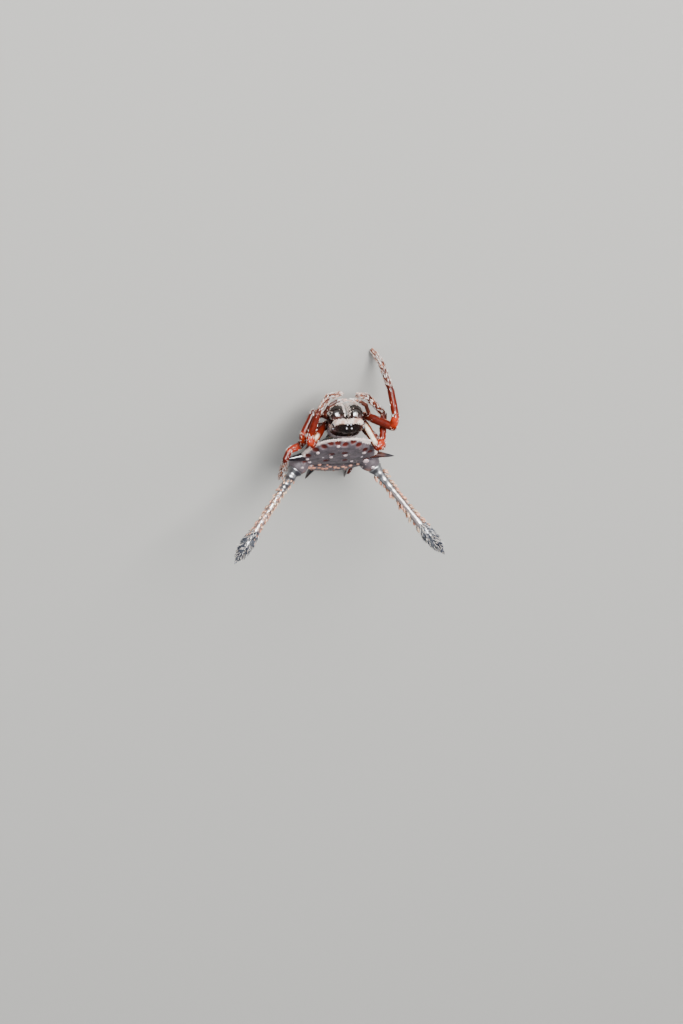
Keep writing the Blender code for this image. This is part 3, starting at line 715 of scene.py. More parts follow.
# %% [markdown]
# ## Thickness and colours of the limbs
# The first legs are the thickest. The kneecaps are coral, the long pieces deep red with darker
# ends, and the feet dull brown under their pale hairs. Each second femur carries a painted
# highlight: a pale bar, edged orange-brown, on the side that faces the camera. A light would give
# it, but no light above the floor can, so the highlight is painted as a stripe that follows the limb.

# %% Set out the thickness and colours of the limbs
LEG_THICKNESS = {1: 1.0, 2: 0.96, 3: 0.88, 4: 0.94}
# Radius of each leg piece at its root, middle and end, then of the palp at its joints.
LEG_RADII = (
    (0.20, 0.21, 0.21), (0.21, 0.22, 0.22), (0.23, 0.34, 0.32), (0.31, 0.34, 0.30),
    (0.27, 0.29, 0.27), (0.25, 0.23, 0.23), (0.23, 0.22, 0.17),
)
PALP_RADII = (0.19, 0.20, 0.21, 0.22, 0.21, 0.13)
PALP_SLIMNESS = 0.74
# Colour of each leg piece at its root and at its end, then of the palp's pieces.
LEG_COLOURS = (
    ((0.020, 0.004, 0.002), (0.035, 0.005, 0.003)),
    ((0.035, 0.005, 0.002), (0.055, 0.006, 0.003)),
    ((0.070, 0.006, 0.002), (0.120, 0.008, 0.002)),
    ((0.270, 0.018, 0.004), (0.310, 0.024, 0.006)),
    ((0.140, 0.009, 0.002), (0.095, 0.007, 0.002)),
    ((0.085, 0.014, 0.007), (0.070, 0.018, 0.011)),
    ((0.095, 0.026, 0.015), (0.150, 0.065, 0.045)),
)
PALP_COLOURS = (
    ((0.020, 0.004, 0.003), (0.030, 0.005, 0.003)),
    ((0.040, 0.007, 0.004), (0.055, 0.009, 0.005)),
    ((0.060, 0.011, 0.006), (0.055, 0.012, 0.007)),
    ((0.060, 0.016, 0.010), (0.065, 0.022, 0.016)),
    ((0.075, 0.030, 0.024), (0.150, 0.070, 0.055)),
)
FEMUR = 2
FEMUR_PAINTED_HIGHLIGHT = (0.900, 0.820, 0.680)
FEMUR_PAINTED_HIGHLIGHT_EDGE = (0.240, 0.070, 0.020)
PAINTED_HIGHLIGHT_FADE = 0.15
PAINTED_HIGHLIGHT_SHARES = {"leg_2_right": (0.10, 0.98), "leg_2_left": (0.45, 0.92)}
RIM_SHADE = 0.35
BLOTCHES = 0.18

LIMBS = {}
for name in POSES:
    thickness = LEG_THICKNESS[leg_number(name)]
    radii = [tuple(thickness * radius for radius in piece) for piece in LEG_RADII]
    LIMBS[name] = (leg_joints(name), radii, LEG_COLOURS)
for side, sign in SIDES:
    joints = [flipped(place, sign) for place in PALP_JOINTS]
    slim = [PALP_SLIMNESS * radius for radius in PALP_RADII]
    radii = [(first, 0.5 * (first + last), last) for first, last in zip(slim, slim[1:])]
    LIMBS[f"palp_{side}"] = (joints, radii, PALP_COLOURS)
print("limbs:", len(LIMBS))

# %% [markdown]
# ## Skins of the limbs
# Each piece is a bar that is fuller in its middle and narrow at both ends, as the real ones are,
# and the pieces of a limb are melted into one skin. A tube along a curve would be quicker, but it
# would have no joints. The paint then asks of each point which piece it belongs to.

# %% Define the bars and the paint of a limb
def limb_bar(start, end, radii):
    """One piece of a limb: round ends, a narrow neck at each joint and a fuller middle."""
    first, middle, last = radii
    length = (end - start).length
    root_end = (
        (0.0, -0.80 * first), (0.55 * first, -0.66 * first), (0.84 * first, -0.35 * first),
        (0.95 * first, 0.0),
    )
    body = (
        (0.5 * (first + middle), 0.12 * length), (middle, 0.35 * length),
        (0.5 * (middle + last), 0.72 * length), (1.02 * last, 0.92 * length), (0.97 * last, length),
    )
    far_end = (
        (0.84 * last, length + 0.38 * last), (0.52 * last, length + 0.68 * last),
        (0.0, length + 0.80 * last),
    )
    return between(spun(root_end + body + far_end, 20), start, end)


def place_on_limb(points, joints, radii):
    """For each point: the piece it belongs to, how far along it lies, and the piece's heading."""
    starts = np.array([joint[:] for joint in joints[:-1]])
    ends = np.array([joint[:] for joint in joints[1:]])
    run = ends - starts
    offset = points[:, None, :] - starts[None, :, :]
    share = (offset * run[None]).sum(axis=2) / (run * run).sum(axis=1)[None]
    clipped = np.clip(share, 0.0, 1.0)
    thickness = np.array([piece[1] for piece in radii])[None]
    away = np.linalg.norm(offset - clipped[..., None] * run[None], axis=2) - thickness
    piece = away.argmin(axis=1)
    rows = np.arange(len(points))
    return piece, clipped[rows, piece], unit(run)[piece]


def limb_paint(name, points, normals):
    """Colour by piece, darker at each joint's rim; the second femur gets a painted highlight, a pale stripe
    where it faces the camera.
    """
    joints, radii, colours = LIMBS[name]
    piece, share, _ = place_on_limb(points, joints, radii)
    roots = np.array([pair[0] for pair in colours])[piece]
    ends = np.array([pair[1] for pair in colours])[piece]
    rim = RIM_SHADE * ramp(share, 0.90, 0.98) * (piece < len(colours) - 1)
    blotch = BLOTCHES * grain_at(points, 2.2, 5.0)
    painted = mixed(roots, ends, share) * (1.0 - rim + blotch)[:, None]
    # Painted highlight: a pale bar with an orange-brown edge where the second femur faces the camera.
    if name in PAINTED_HIGHLIGHT_SHARES:
        low, high = PAINTED_HIGHLIGHT_SHARES[name]
        facing = normals @ np.array(TO_CAMERA)
        begun = ramp(share, low, low + PAINTED_HIGHLIGHT_FADE)
        length = (piece == FEMUR) * begun * ramp(-share, -high, PAINTED_HIGHLIGHT_FADE - high)
        painted = mixed(painted, FEMUR_PAINTED_HIGHLIGHT_EDGE, length * ramp(facing, 0.45, 0.75))
        painted = mixed(painted, FEMUR_PAINTED_HIGHLIGHT, length * ramp(facing, 0.66, 0.92))
    return painted


print("pieces in a leg:", len(LEG_RADII), "and in a palp:", len(PALP_RADII) - 1)

# %% Make the skins of the limbs
LIMB_VOXEL = 0.032
LIMB_ROUNDS = 3
LIMB_GRAIN = 0.006

LIMB_SKINS = {}
for name, (joints, radii, _) in LIMBS.items():
    bars = [limb_bar(start, end, piece) for start, end, piece in zip(joints, joints[1:], radii)]
    skin = even_skin(bars, LIMB_VOXEL, LIMB_ROUNDS)
    points = points_of(skin)
    points += LIMB_GRAIN * grain_at(points, 7.0)[:, None] * normals_of(skin)
    set_points(skin, points)
    LIMB_SKINS[name] = skin.copy()
    finish(f"{name}_skin", skin, limb_paint(name, points, normals_of(skin)), "leg", [name])

# %% [markdown]
# ## Claws
# Each foot ends in a pair of small dark curved claws, with which the spider holds on. A claw could
# be one bent cone. Three short cones, each turned a little further down, give the same hook from
# the round bar that is already there.

# %% Make the claws
# Radius at the root, radius at the end and length of each step of a claw.
CLAW_STEPS = ((0.035, 0.028, 0.055), (0.028, 0.018, 0.050), (0.018, 0.004, 0.050))
CLAW_SPREAD = 0.25
CLAW_BEND = 0.35
CLAW_AHEAD, CLAW_ASIDE, CLAW_RAISED = 0.10, 0.06, 0.05
CLAW_DARK = (0.020, 0.010, 0.008)
CLAW_BROWN = (0.060, 0.020, 0.012)

claws = []
for name, (joints, _, _) in LIMBS.items():
    if name.startswith("palp"):
        continue
    toe = (joints[-1] - joints[-2]).normalized()
    side_way = toe.cross(Vector((0.0, 0.0, 1.0))).normalized()
    for sign in (1.0, -1.0):
        heading = (toe + CLAW_SPREAD * sign * side_way).normalized()
        spot = joints[-1] + CLAW_AHEAD * heading + CLAW_ASIDE * sign * side_way + CLAW_RAISED * FLOOR_NORMAL
        for width, narrow, step in CLAW_STEPS:
            nearer = spot + step * heading
            shape = ((0.0, -0.6 * width), (width, 0.0), (narrow, step), (0.0, step + 0.6 * narrow))
            claws.append(between(spun(shape, 10), spot, nearer))
            spot = nearer
            heading = (heading - CLAW_BEND * FLOOR_NORMAL).normalized()
claw_data = as_mesh(joined(claws), "claws")
claw_colour = mixed(CLAW_DARK, CLAW_BROWN, ramp(grain_at(points_of(claw_data), 9.0), -0.3, 0.3))
finish("claws", claw_data, claw_colour, "shell")

# %% [markdown]
# ## Head and chest
# The cephalothorax is one glossy dark shell. It could be sculpted from a ball, but its outline is
# known from the front and from above, so it starts as a spun bar along Y and is pressed into
# sections, each a rounded rectangle. The sections are the solid's.

# %% Press the head's sections
# Place along the body, half width, lowest and highest point.
HEAD_SECTIONS = np.array((
    (-0.36, 0.00, -0.43, -0.42), (-0.34, 0.55, -0.55, -0.30), (-0.28, 1.02, -0.66, -0.10),
    (-0.10, 1.19, -0.72, 0.02), (0.20, 1.29, -0.74, 0.15), (0.48, 1.34, -0.80, 0.24),
    (0.62, 1.36, -1.55, 0.26), (1.00, 1.34, -1.72, 0.24), (1.50, 1.28, -1.78, 0.03),
    (2.00, 1.10, -1.74, -0.32), (2.40, 0.78, -1.62, -0.74), (2.62, 0.36, -1.40, -1.05),
    (2.67, 0.00, -1.23, -1.22),
))
HEAD_SQUARENESS = 2.6
HEAD_VOXEL = 0.028
HEAD_ROUNDS = 4


def press_into_head(mesh):
    """Turn a spun bar of radius 1, whose height runs along the body, into the head."""
    for vertex in mesh.verts:
        y = vertex.co.z
        half_width, low, high = (np.interp(y, HEAD_SECTIONS[:, 0], HEAD_SECTIONS[:, k]) for k in (1, 2, 3))
        radius = math.hypot(vertex.co.x, vertex.co.y)
        cosine, sine = (vertex.co.x / radius, vertex.co.y / radius) if radius > 1e-6 else (0.0, 0.0)
        side = squarer(cosine, HEAD_SQUARENESS)
        up = squarer(sine, HEAD_SQUARENESS)
        vertex.co = (half_width * side, y, 0.5 * (low + high) + 0.5 * (high - low) * up)
    bmesh.ops.recalc_face_normals(mesh, faces=mesh.faces)


def rod_profile(places):
    """Pairs for spun: radius 1 all along, and 0 at both ends."""
    last = len(places) - 1
    return [(0.0 if index in (0, last) else 1.0, place) for index, place in enumerate(places)]


steps_along = np.linspace(HEAD_SECTIONS[0, 0], HEAD_SECTIONS[-1, 0], 70)
stations = np.unique(np.concatenate([steps_along, HEAD_SECTIONS[:, 0]]))
head = spun(rod_profile(stations), 64)
press_into_head(head)
head_skin = even_skin([head], HEAD_VOXEL, HEAD_ROUNDS)
print("head skin:", len(head_skin.vertices), "points")

# %% [markdown]
# ## Relief and markings of the head
# A furrow on either side sets the head off from the chest, and a small pit behind it shows where
# the muscles of the stomach are anchored. Below, the breastplate has an oval rim. These are shallow,
# so they are pressed in along the normals of the even skin. The band below the eyes is pale under
# its hair, or the dark shell would show between the hairs.

# %% Press and paint the head
PIT_PLACE_Y = 1.35
PIT_WIDTH, PIT_LENGTH, PIT_DEPTH = 0.10, 0.22, 0.10
FURROW_SIDE, FURROW_SLANT, FURROW_WIDTH, FURROW_DEPTH = 0.30, 0.35, 0.09, 0.045
BREASTPLATE_WIDTH, BREASTPLATE_LENGTH, BREASTPLATE_Y, BREASTPLATE_RIM = 0.62, 0.80, 1.75, 0.05
HEAD_BLACK = (0.010, 0.006, 0.005)
HEAD_BROWN = (0.055, 0.012, 0.008)
BAND_SKIN = (0.42, 0.28, 0.22)
NAPE_GREY = (0.12, 0.095, 0.105)
BREAST_BROWN = (0.030, 0.012, 0.010)


def face_band(points, normals):
    """1 in the band below the eyes that carries dense white hair."""
    low, high = ramp(points[:, 2], -0.50, -0.42), ramp(-points[:, 2], 0.06, 0.16)
    return low * high * ramp(-points[:, 1], -0.10, 0.10) * ramp(-normals[:, 1], 0.0, 0.3)


points = points_of(head_skin)
normals = normals_of(head_skin)
aside = np.abs(points[:, 0])
upper = ramp(normals[:, 2], 0.2, 0.7)
pit = np.exp(-((points[:, 0] / PIT_WIDTH) ** 2 + ((points[:, 1] - PIT_PLACE_Y) / PIT_LENGTH) ** 2))
furrow = bell(aside - FURROW_SIDE - FURROW_SLANT * (PIT_PLACE_Y - points[:, 1]), 0.0, FURROW_WIDTH)
furrow = furrow * ramp(points[:, 1], 0.3, 0.7)
press = -PIT_DEPTH * pit * upper - FURROW_DEPTH * furrow * upper * ramp(-points[:, 1], -1.6, -1.2)
press += 0.012 * grain_at(points, 5.0) + 0.006 * grain_at(points, 14.0, 3.0)
under = ramp(-normals[:, 2], 0.2, 0.8)
plate = np.hypot(points[:, 0] / BREASTPLATE_WIDTH, (points[:, 1] - BREASTPLATE_Y) / BREASTPLATE_LENGTH)
press += under * (-BREASTPLATE_RIM * bell(plate, 1.0, 0.10))
set_points(head_skin, points + press[:, None] * normals)
head_colour = mixed(HEAD_BLACK, HEAD_BROWN, ramp(aside, 0.75, 1.30))
head_colour = mixed(head_colour, BAND_SKIN, 0.9 * face_band(points, normals))
head_colour = mixed(head_colour, NAPE_GREY, 0.7 * ramp(points[:, 1], 0.95, 1.25))
head_colour = mixed(head_colour, BREAST_BROWN, under)
HEAD_SKIN = head_skin.copy()
finish("cephalothorax_skin", head_skin, head_colour, "shell", ["cephalothorax"])

# %% [markdown]
# ## Eyes
# Four small eyes sit in a square in the middle of the face and two more on each front corner.
# They are clear, black, domed lenses, so each is a fine ball with a wet gloss. Behind the lens lies
# a silvery layer, which a flash lights up as a pale spot. Here that spot is a painted reflection:
# pale paint on the side of each lens that faces the camera. Glass over an inner bowl would show it
# as light, but an eye here is a quarter of a millimetre wide, and a painted spot looks the same.

# %% Make the eyes
EYES = {
    "front_median": ((0.14, -0.17, -0.05), 0.12), "rear_median": ((0.20, 0.06, 0.14), 0.12),
    "front_lateral": ((1.23, -0.03, -0.22), 0.11), "rear_lateral": ((1.25, 0.24, -0.01), 0.11),
}
EYE_PAINTED_SHINE = {"front_median": 0.90, "rear_median": 0.75, "front_lateral": 0.15, "rear_lateral": 0.15}
EYE_BLACK = (0.006, 0.005, 0.006)
EYE_PAINTED_REFLECTION = (0.70, 0.68, 0.80)
PAINTED_REFLECTION_WAY = unit(np.array(TO_CAMERA) + np.array((0.0, -0.15, 0.15)))

for eye, (place, radius) in EYES.items():
    for side, sign in SIDES:
        ball = bmesh.new()
        bmesh.ops.create_uvsphere(ball, u_segments=40, v_segments=24, radius=radius)
        bmesh.ops.translate(ball, verts=ball.verts, vec=flipped(place, sign))
        data = as_mesh(ball, "eye")
        spokes = unit(points_of(data) - np.array((sign * place[0], place[1], place[2])))
        # Painted reflection of the flash: a pale spot where the lens faces the camera.
        painted_reflection = EYE_PAINTED_SHINE[eye] * ramp(spokes @ PAINTED_REFLECTION_WAY, 0.89, 0.97)
        lens = mixed(EYE_BLACK, EYE_PAINTED_REFLECTION, painted_reflection)
        finish(f"eye_{eye}_{side}_lens", data, lens, "eye", [f"eye_{eye}_{side}"])

# %% [markdown]
# ## Chelicerae
# The two chelicerae hang side by side under the face: short, bulging, very glossy columns, each
# with a folded fang at its end. Their highlights show every dent, so the sections are read from a
# table with a soft average and not straight from row to row. The fang is a thin curved cone in
# three spun bars, melted into the column.

# %% Make the chelicerae
# Height, then the centre's place to the side and along the body, half width and half depth.
CHELICERA_SECTIONS = np.array((
    (-2.16, 0.56, 0.14, 0.00, 0.00), (-2.14, 0.56, 0.13, 0.22, 0.16), (-2.08, 0.58, 0.11, 0.38, 0.28),
    (-1.97, 0.62, 0.06, 0.49, 0.37), (-1.80, 0.68, 0.01, 0.57, 0.44), (-1.58, 0.72, -0.03, 0.61, 0.48),
    (-1.32, 0.73, -0.06, 0.63, 0.51), (-1.08, 0.73, -0.06, 0.62, 0.50), (-0.86, 0.72, -0.05, 0.57, 0.45),
    (-0.68, 0.72, -0.03, 0.49, 0.37), (-0.54, 0.72, 0.00, 0.38, 0.27), (-0.45, 0.72, 0.03, 0.22, 0.15),
    (-0.40, 0.72, 0.06, 0.00, 0.00),
))
# Place and radius along the fang.
FANG = (
    (0.62, 0.08, -2.00, 0.12), (0.46, 0.16, -2.24, 0.10), (0.24, 0.26, -2.26, 0.05),
    (0.12, 0.32, -2.20, 0.02),
)
CHELICERA_VOXEL = 0.026
CHELICERA_ROUNDS = 3
CHELICERA_GRAIN = 0.010
JAW_BLACK = (0.010, 0.006, 0.005)
JAW_BROWN = (0.040, 0.012, 0.008)
FANG_RED = (0.07, 0.014, 0.008)


def soft_interp(place, table, column_index, blur=0.12):
    """A column of a table read at a place of its first column, averaged a little to either side."""
    shifts = np.linspace(-1.0, 1.0, 9)
    reads = [np.interp(place + shift * blur, table[:, 0], table[:, column_index]) for shift in shifts]
    return sum(reads) / len(reads)


def press_into_chelicera(mesh, sign):
    """Turn a spun bar of radius 1 into the column of one side."""
    for vertex in mesh.verts:
        z = vertex.co.z
        x, y, half_width, half_depth = (soft_interp(z, CHELICERA_SECTIONS, k) for k in (1, 2, 3, 4))
        vertex.co = (sign * x + half_width * vertex.co.x, y + half_depth * vertex.co.y, z)
    bmesh.ops.recalc_face_normals(mesh, faces=mesh.faces)


def fang_bars(sign):
    """The three bars of one side's fang."""
    bars = []
    for first, second in zip(FANG, FANG[1:]):
        start, end = flipped(first[:3], sign), flipped(second[:3], sign)
        thick, thin, length = first[3], second[3], (end - start).length
        root_end = ((0.0, -0.8 * thick), (0.8 * thick, -0.45 * thick), (thick, 0.0))
        far_end = ((thin, length), (0.7 * thin, length + 0.5 * thin), (0.0, length + 0.8 * thin))
        bars.append(between(spun(root_end + far_end, 16), start, end))
    return bars


CHELICERA_SKINS = {}
for side, sign in SIDES:
    heights = np.linspace(CHELICERA_SECTIONS[0, 0], CHELICERA_SECTIONS[-1, 0], 60)
    column = spun(rod_profile(heights), 48)
    press_into_chelicera(column, sign)
    skin = even_skin([column] + fang_bars(sign), CHELICERA_VOXEL, CHELICERA_ROUNDS)
    points = points_of(skin)
    points += (CHELICERA_GRAIN * grain_at(points, 4.0, 2.0))[:, None] * normals_of(skin)
    set_points(skin, points)
    colour = mixed(JAW_BLACK, JAW_BROWN, ramp(points[:, 2], -0.95, -0.60))
    colour = mixed(colour, FANG_RED, ramp(-points[:, 2], 2.02, 2.18))
    CHELICERA_SKINS[side] = skin.copy()
    finish(f"chelicera_{side}_skin", skin, colour, "shell", [f"chelicera_{side}"])

# %% [markdown]
# ## Abdomen
# The abdomen is the shield that gives the spider its name: a hard oval plate with a thick round
# rim, tilted down to the rear, over a conical belly. Its upper face is almost flat and its rim is
# tight, which a scaled ball can't give. So a spun, unit-sized body is pressed into the outline
# and the heights below. In front the outline is a little squarer than an oval and rolls over.

# %% Set out the shield
WIDEST_Y = 4.3
HALF_WIDTH = 3.1
FRONT_LENGTH = 3.5
REAR_LENGTH = 2.3
TOP_Z = 1.0
TOP_Y = 1.2
SLOPE = 0.263
CROWN = 0.12
RIM = 0.7
BELLY = 1.6
FRONT_SQUARENESS = 2.5
FRONT_ROLL = 0.36
# Share of the outline, and how far the upper face has dropped there.
EDGE_DROP = np.array(((0.0, 0.0), (0.80, 0.0), (0.90, 0.03), (0.96, 0.12), (0.99, 0.24), (1.0, 0.35)))


def level_at(y):
    """Height of the tilted plane that the upper face follows."""
    return TOP_Z - SLOPE * (y - TOP_Y)


def shield_place(points):
    """Share of the outline (1 at the edge) and angle round it, for rows of x and y."""
    x = points[:, 0] / HALF_WIDTH
    y = points[:, 1] - WIDEST_Y
    front = y < 0.0
    y = np.where(front, y / FRONT_LENGTH, y / REAR_LENGTH)
    square = (np.abs(x) ** FRONT_SQUARENESS + np.abs(y) ** FRONT_SQUARENESS) ** (1.0 / FRONT_SQUARENESS)
    return np.where(front, square, np.hypot(x, y)), np.arctan2(y, x)


def top_height(y, scale, angle):
    """Height of the upper face: it slopes down to the rear, is slightly domed and rolls over in front."""
    roll = ramp(-np.sin(angle), 0.15, 0.75) * ramp(scale, 0.70, 1.05)
    return level_at(y) + CROWN * (1.0 - scale * scale) - FRONT_ROLL * roll


def press_into_shield(mesh):
    """Turn a unit-sized spun body, with its top at height 1 and its tip at -1, into the shield."""
    for vertex in mesh.verts:
        scale = math.hypot(vertex.co.x, vertex.co.y)
        angle = math.atan2(vertex.co.y, vertex.co.x)
        cosine, sine = math.cos(angle), math.sin(angle)
        if sine < 0.0:
            x = HALF_WIDTH * scale * squarer(cosine, FRONT_SQUARENESS)
            y = WIDEST_Y + FRONT_LENGTH * scale * squarer(sine, FRONT_SQUARENESS)
        else:
            x = HALF_WIDTH * scale * cosine
            y = WIDEST_Y + REAR_LENGTH * scale * sine
        drop = float(np.interp(scale, EDGE_DROP[:, 0], EDGE_DROP[:, 1]))
        if vertex.co.z > 0.0:
            z = float(top_height(y, scale, angle)) - drop
        elif vertex.co.z < 0.0:
            z = level_at(y) - RIM - BELLY * max(0.0, 1.0 - scale * scale) ** 3 + drop
        else:
            z = level_at(y) - 0.5 * RIM - 0.4 * FRONT_ROLL * float(ramp(-sine, 0.15, 0.75))
        vertex.co = (x, y, z)
    bmesh.ops.recalc_face_normals(mesh, faces=mesh.faces)


print("shield without its corners, mm:", 2.0 * HALF_WIDTH, "wide,", FRONT_LENGTH + REAR_LENGTH, "long")

# %% [markdown]
# ## Corners and waist
# Two broad round corners carry the long spines, and a short stalk joins the abdomen to the chest.
# Bars that only touched the shield would leave a hard seam round each, so they are spun and melted
# into it. The creases where the corners begin are then smoothed many times over, but only there,
# because the rim has to stay tight elsewhere.

# %% Melt the abdomen together
SPINE_ROOT = Vector((3.21, 5.22, 0.23))
SPINE_REACH = Vector((5.44, 3.60, 6.25))
CORNER_PROFILE = (
    (0.0, -1.35), (0.50, -1.20), (0.78, -0.85), (0.80, -0.45),
    (0.71, -0.15), (0.58, 0.03), (0.42, 0.05), (0.0, 0.05),
)
STALK_START = Vector((0.0, 2.30, -1.12))
STALK_END = Vector((0.0, 3.30, -0.90))
STALK_RADIUS = 0.26
RIM_SCALES = (0.88, 0.91, 0.935, 0.955, 0.97, 0.98, 0.99, 0.996)
SHIELD_STEPS = 144
SHIELD_VOXEL = 0.036
SHIELD_ROUNDS = 6
CREASE_REACH = 1.15
CREASE_ROUNDS = 60

scales = [0.0] + [0.05 * k for k in range(1, 18)] + list(RIM_SCALES)
top_side = [(scale, 1.0 - 0.5 * scale) for scale in scales]
lower_side = [(scale, -height) for scale, height in reversed(top_side)]
shield = spun(top_side + [(1.0, 0.0)] + lower_side, SHIELD_STEPS)
press_into_shield(shield)
spine_ends = {
    side: (flipped(SPINE_ROOT, sign), flipped(SPINE_ROOT + SPINE_REACH, sign)) for side, sign in SIDES
}
corners = [between(spun(CORNER_PROFILE, 40), *ends) for ends in spine_ends.values()]
stalk_profile = (
    (0.0, -0.8 * STALK_RADIUS), (STALK_RADIUS, -0.2 * STALK_RADIUS), (STALK_RADIUS, 1.0), (0.0, 1.3),
)
stalk = between(spun(stalk_profile, 24), STALK_START, STALK_END)
shield_skin = even_skin([shield] + corners + [stalk], SHIELD_VOXEL, SHIELD_ROUNDS)

blend = bmesh.new()
blend.from_mesh(shield_skin)
creases = [flipped(SPINE_ROOT - SPINE_REACH.normalized(), sign) for _, sign in SIDES]
creased = [
    vertex for vertex in blend.verts
    if min((vertex.co - place).length for place in creases) < CREASE_REACH
]
for _ in range(CREASE_ROUNDS):
    bmesh.ops.smooth_vert(
        blend, verts=creased, factor=0.5, use_axis_x=True, use_axis_y=True, use_axis_z=True)
blend.to_mesh(shield_skin)
blend.free()
print("shield skin:", len(shield_skin.vertices), "points, of which", len(creased), "in the creases")

# %% [markdown]
# ## Pits of the shield
# The maroon pits, or sigilla, are where muscles are anchored inside. Each is an uneven oval with a
# raised ring, laid round the shield's middle as on the real plate. A Boolean with flat balls could
# cut them, but pressing the even skin in keeps their edges soft, and the same shares paint them.

# %% Find the pits
SIGILLA = (
    (2.28, 2.21), (1.78, 1.67), (1.31, 1.25), (0.78, 1.13), (0.16, 1.27), (-0.46, 1.06), (-0.93, 1.39),
    (-1.64, 2.12), (-2.20, 2.60), (0.93, 2.60), (-0.10, 2.48), (1.04, 3.92), (-0.51, 3.95), (2.69, 4.09),
    (-2.28, 4.04), (2.70, 3.10),
)
SIGILLUM_LENGTH = 0.28
SIGILLUM_WIDTH = 0.24
SIGILLUM_UNEVEN = 0.28

points = points_of(shield_skin)
normals = normals_of(shield_skin)
uneven = 1.0 + SIGILLUM_UNEVEN * grain_at(points, 2.6, 17.0)
pits = np.zeros(len(points))
ring = np.zeros(len(points))
for x, y in SIGILLA:
    turn_angle = math.atan2(y - WIDEST_Y, x) + 0.5 * math.pi
    dx, dy = points[:, 0] - x, points[:, 1] - y
    along = math.cos(turn_angle) * dx + math.sin(turn_angle) * dy
    aside = -math.sin(turn_angle) * dx + math.cos(turn_angle) * dy
    far = np.hypot(along / SIGILLUM_LENGTH, aside / SIGILLUM_WIDTH) * uneven
    pits = np.maximum(pits, ramp(-far, -1.15, -0.60))
    ring = np.maximum(ring, bell(far, 1.35, 0.28))
print("sigilla:", len(SIGILLA), "points inside them:", int((pits > 0.5).sum()))

# %% [markdown]
# ## Folds of the shield
# A groove runs across the plate ahead of its rear margin, the margin is raised into a ridge with
# small folds, and the belly has rings of soft folds. A bump in the material could draw them, but
# the outline of the shield shows them too, so they are pressed into the mesh. The last of the
# relief is a soft unevenness at three scales.

# %% Press the relief into the shield
# Height and scale of each grain, and its seed.
SHIELD_GRAIN = ((0.020, 1.6, 0.0), (0.012, 4.5, 2.0), (0.006, 12.0, 4.0))
SIGILLUM_DEPTH = 0.07
RING_HEIGHT = 0.018
GROOVE_Y = 4.80
GROOVE_WIDTH = 0.20
GROOVE_DEPTH = 0.060
RIDGE_HEIGHT = 0.045
FOLDS_ROUND = 26.0
FOLD_HEIGHT = 0.020
BELLY_RINGS = 9.0
BELLY_FOLD_HEIGHT = 0.025

rim_share, rim_angle = shield_place(points)
below = ramp(-normals[:, 2], 0.10, 0.50)
rear = ramp(np.sin(rim_angle), 0.15, 0.6)
groove_y = GROOVE_Y + 0.06 * points[:, 0] ** 2 + 0.06 * grain_at(points, 1.5, 12.0)
groove = bell(points[:, 1], groove_y, GROOVE_WIDTH) * ramp(-np.abs(points[:, 0]), -2.5, -1.9)
ridge = bell(rim_share, 0.90, 0.07) * rear
waves = np.sin(FOLDS_ROUND * rim_angle + 2.0 * grain_at(points, 1.2, 7.0))
folds = waves * ramp(rim_share, 0.88, 0.97) * rear
rings = np.sin(BELLY_RINGS * rim_share * (1.0 + 0.1 * grain_at(points, 0.9, 3.0)) * math.pi)
belly_folds = rings * below * ramp(rim_share, 0.25, 0.45)
press = sum(height * grain_at(points, scale, seed) for height, scale, seed in SHIELD_GRAIN)
upper_relief = -SIGILLUM_DEPTH * pits + RING_HEIGHT * ring * (1.0 - pits) - GROOVE_DEPTH * groove
upper_relief += RIDGE_HEIGHT * ridge
press += (1.0 - below) * upper_relief + FOLD_HEIGHT * folds
press += BELLY_FOLD_HEIGHT * belly_folds
set_points(shield_skin, points + press[:, None] * normals)
print("relief of the shield, mm:", round(float(press.min()), 3), "to", round(float(press.max()), 3))

# %% [markdown]
# ## Markings of the shield
# The plate is purple-grey and mottled, peach along its rear margin, white along its front rim, and
# maroon in the pits. The groove ahead of the rear margin is darkened with painted shade. The belly
# is almost black with ochre spots. An image would have to be wrapped round the shield and would
# show its seams. Each marking here is a soft step over the same places that shaped the skin, so
# that colour and relief match.

# %% Paint the shield
SHIELD_GREY = (0.100, 0.082, 0.094)
PEACH = (0.34, 0.13, 0.075)
GROOVE_PAINTED_SHADE = (0.028, 0.020, 0.025)
RIM_WHITE = (0.62, 0.47, 0.44)
MAROON = (0.070, 0.007, 0.004)
BELLY_BLACK = (0.030, 0.020, 0.018)
OCHRE = (0.36, 0.20, 0.08)

mottle = 1.0 + 0.25 * grain_at(points, 1.3, 9.0) + 0.15 * grain_at(points, 5.0, 8.0)
colours = np.tile(np.array(SHIELD_GREY), (len(points), 1)) * mottle[:, None]
peach = rear * ramp(rim_share, 0.80, 0.94) * ramp(grain_at(points, 2.6, 14.0), -0.35, 0.25)
colours = mixed(colours, PEACH, 0.75 * peach)
# Painted shade: the groove ahead of the rear margin is darkened where its hollow lies in shade.
colours = mixed(colours, GROOVE_PAINTED_SHADE, 0.75 * groove)
front_rim = ramp(-np.sin(rim_angle), 0.0, 0.25) * ramp(rim_share, 0.93, 0.975) * (1.0 - below)
colours = mixed(colours, RIM_WHITE, front_rim)
colours = mixed(colours, MAROON, pits * (1.0 - below))
spots = ramp(grain_at(points, 1.9, 21.0), 0.28, 0.42)
colours = mixed(colours, mixed(BELLY_BLACK, OCHRE, 0.8 * spots), below)
SHIELD_SKIN = shield_skin.copy()
finish("abdomen_skin", shield_skin, colours, "shield", ["abdomen"])

# %% [markdown]
# ## Granules
# Small, glossy, pearly warts stand on the flat of the shield, mostly beside the pits, and closer
# together along its rear margin, where they are peach-coloured. Pressing them out of the skin
# would blur them, so each is a low ball of its own, sunk by half, and one mesh holds them all. The
# large ones stand where the photo shows them, and the rest are drawn at random.

# %% Define a granule
TONES = (0.80, 1.15)
LOOK_ROUND = 0.06
SUNK = 0.02

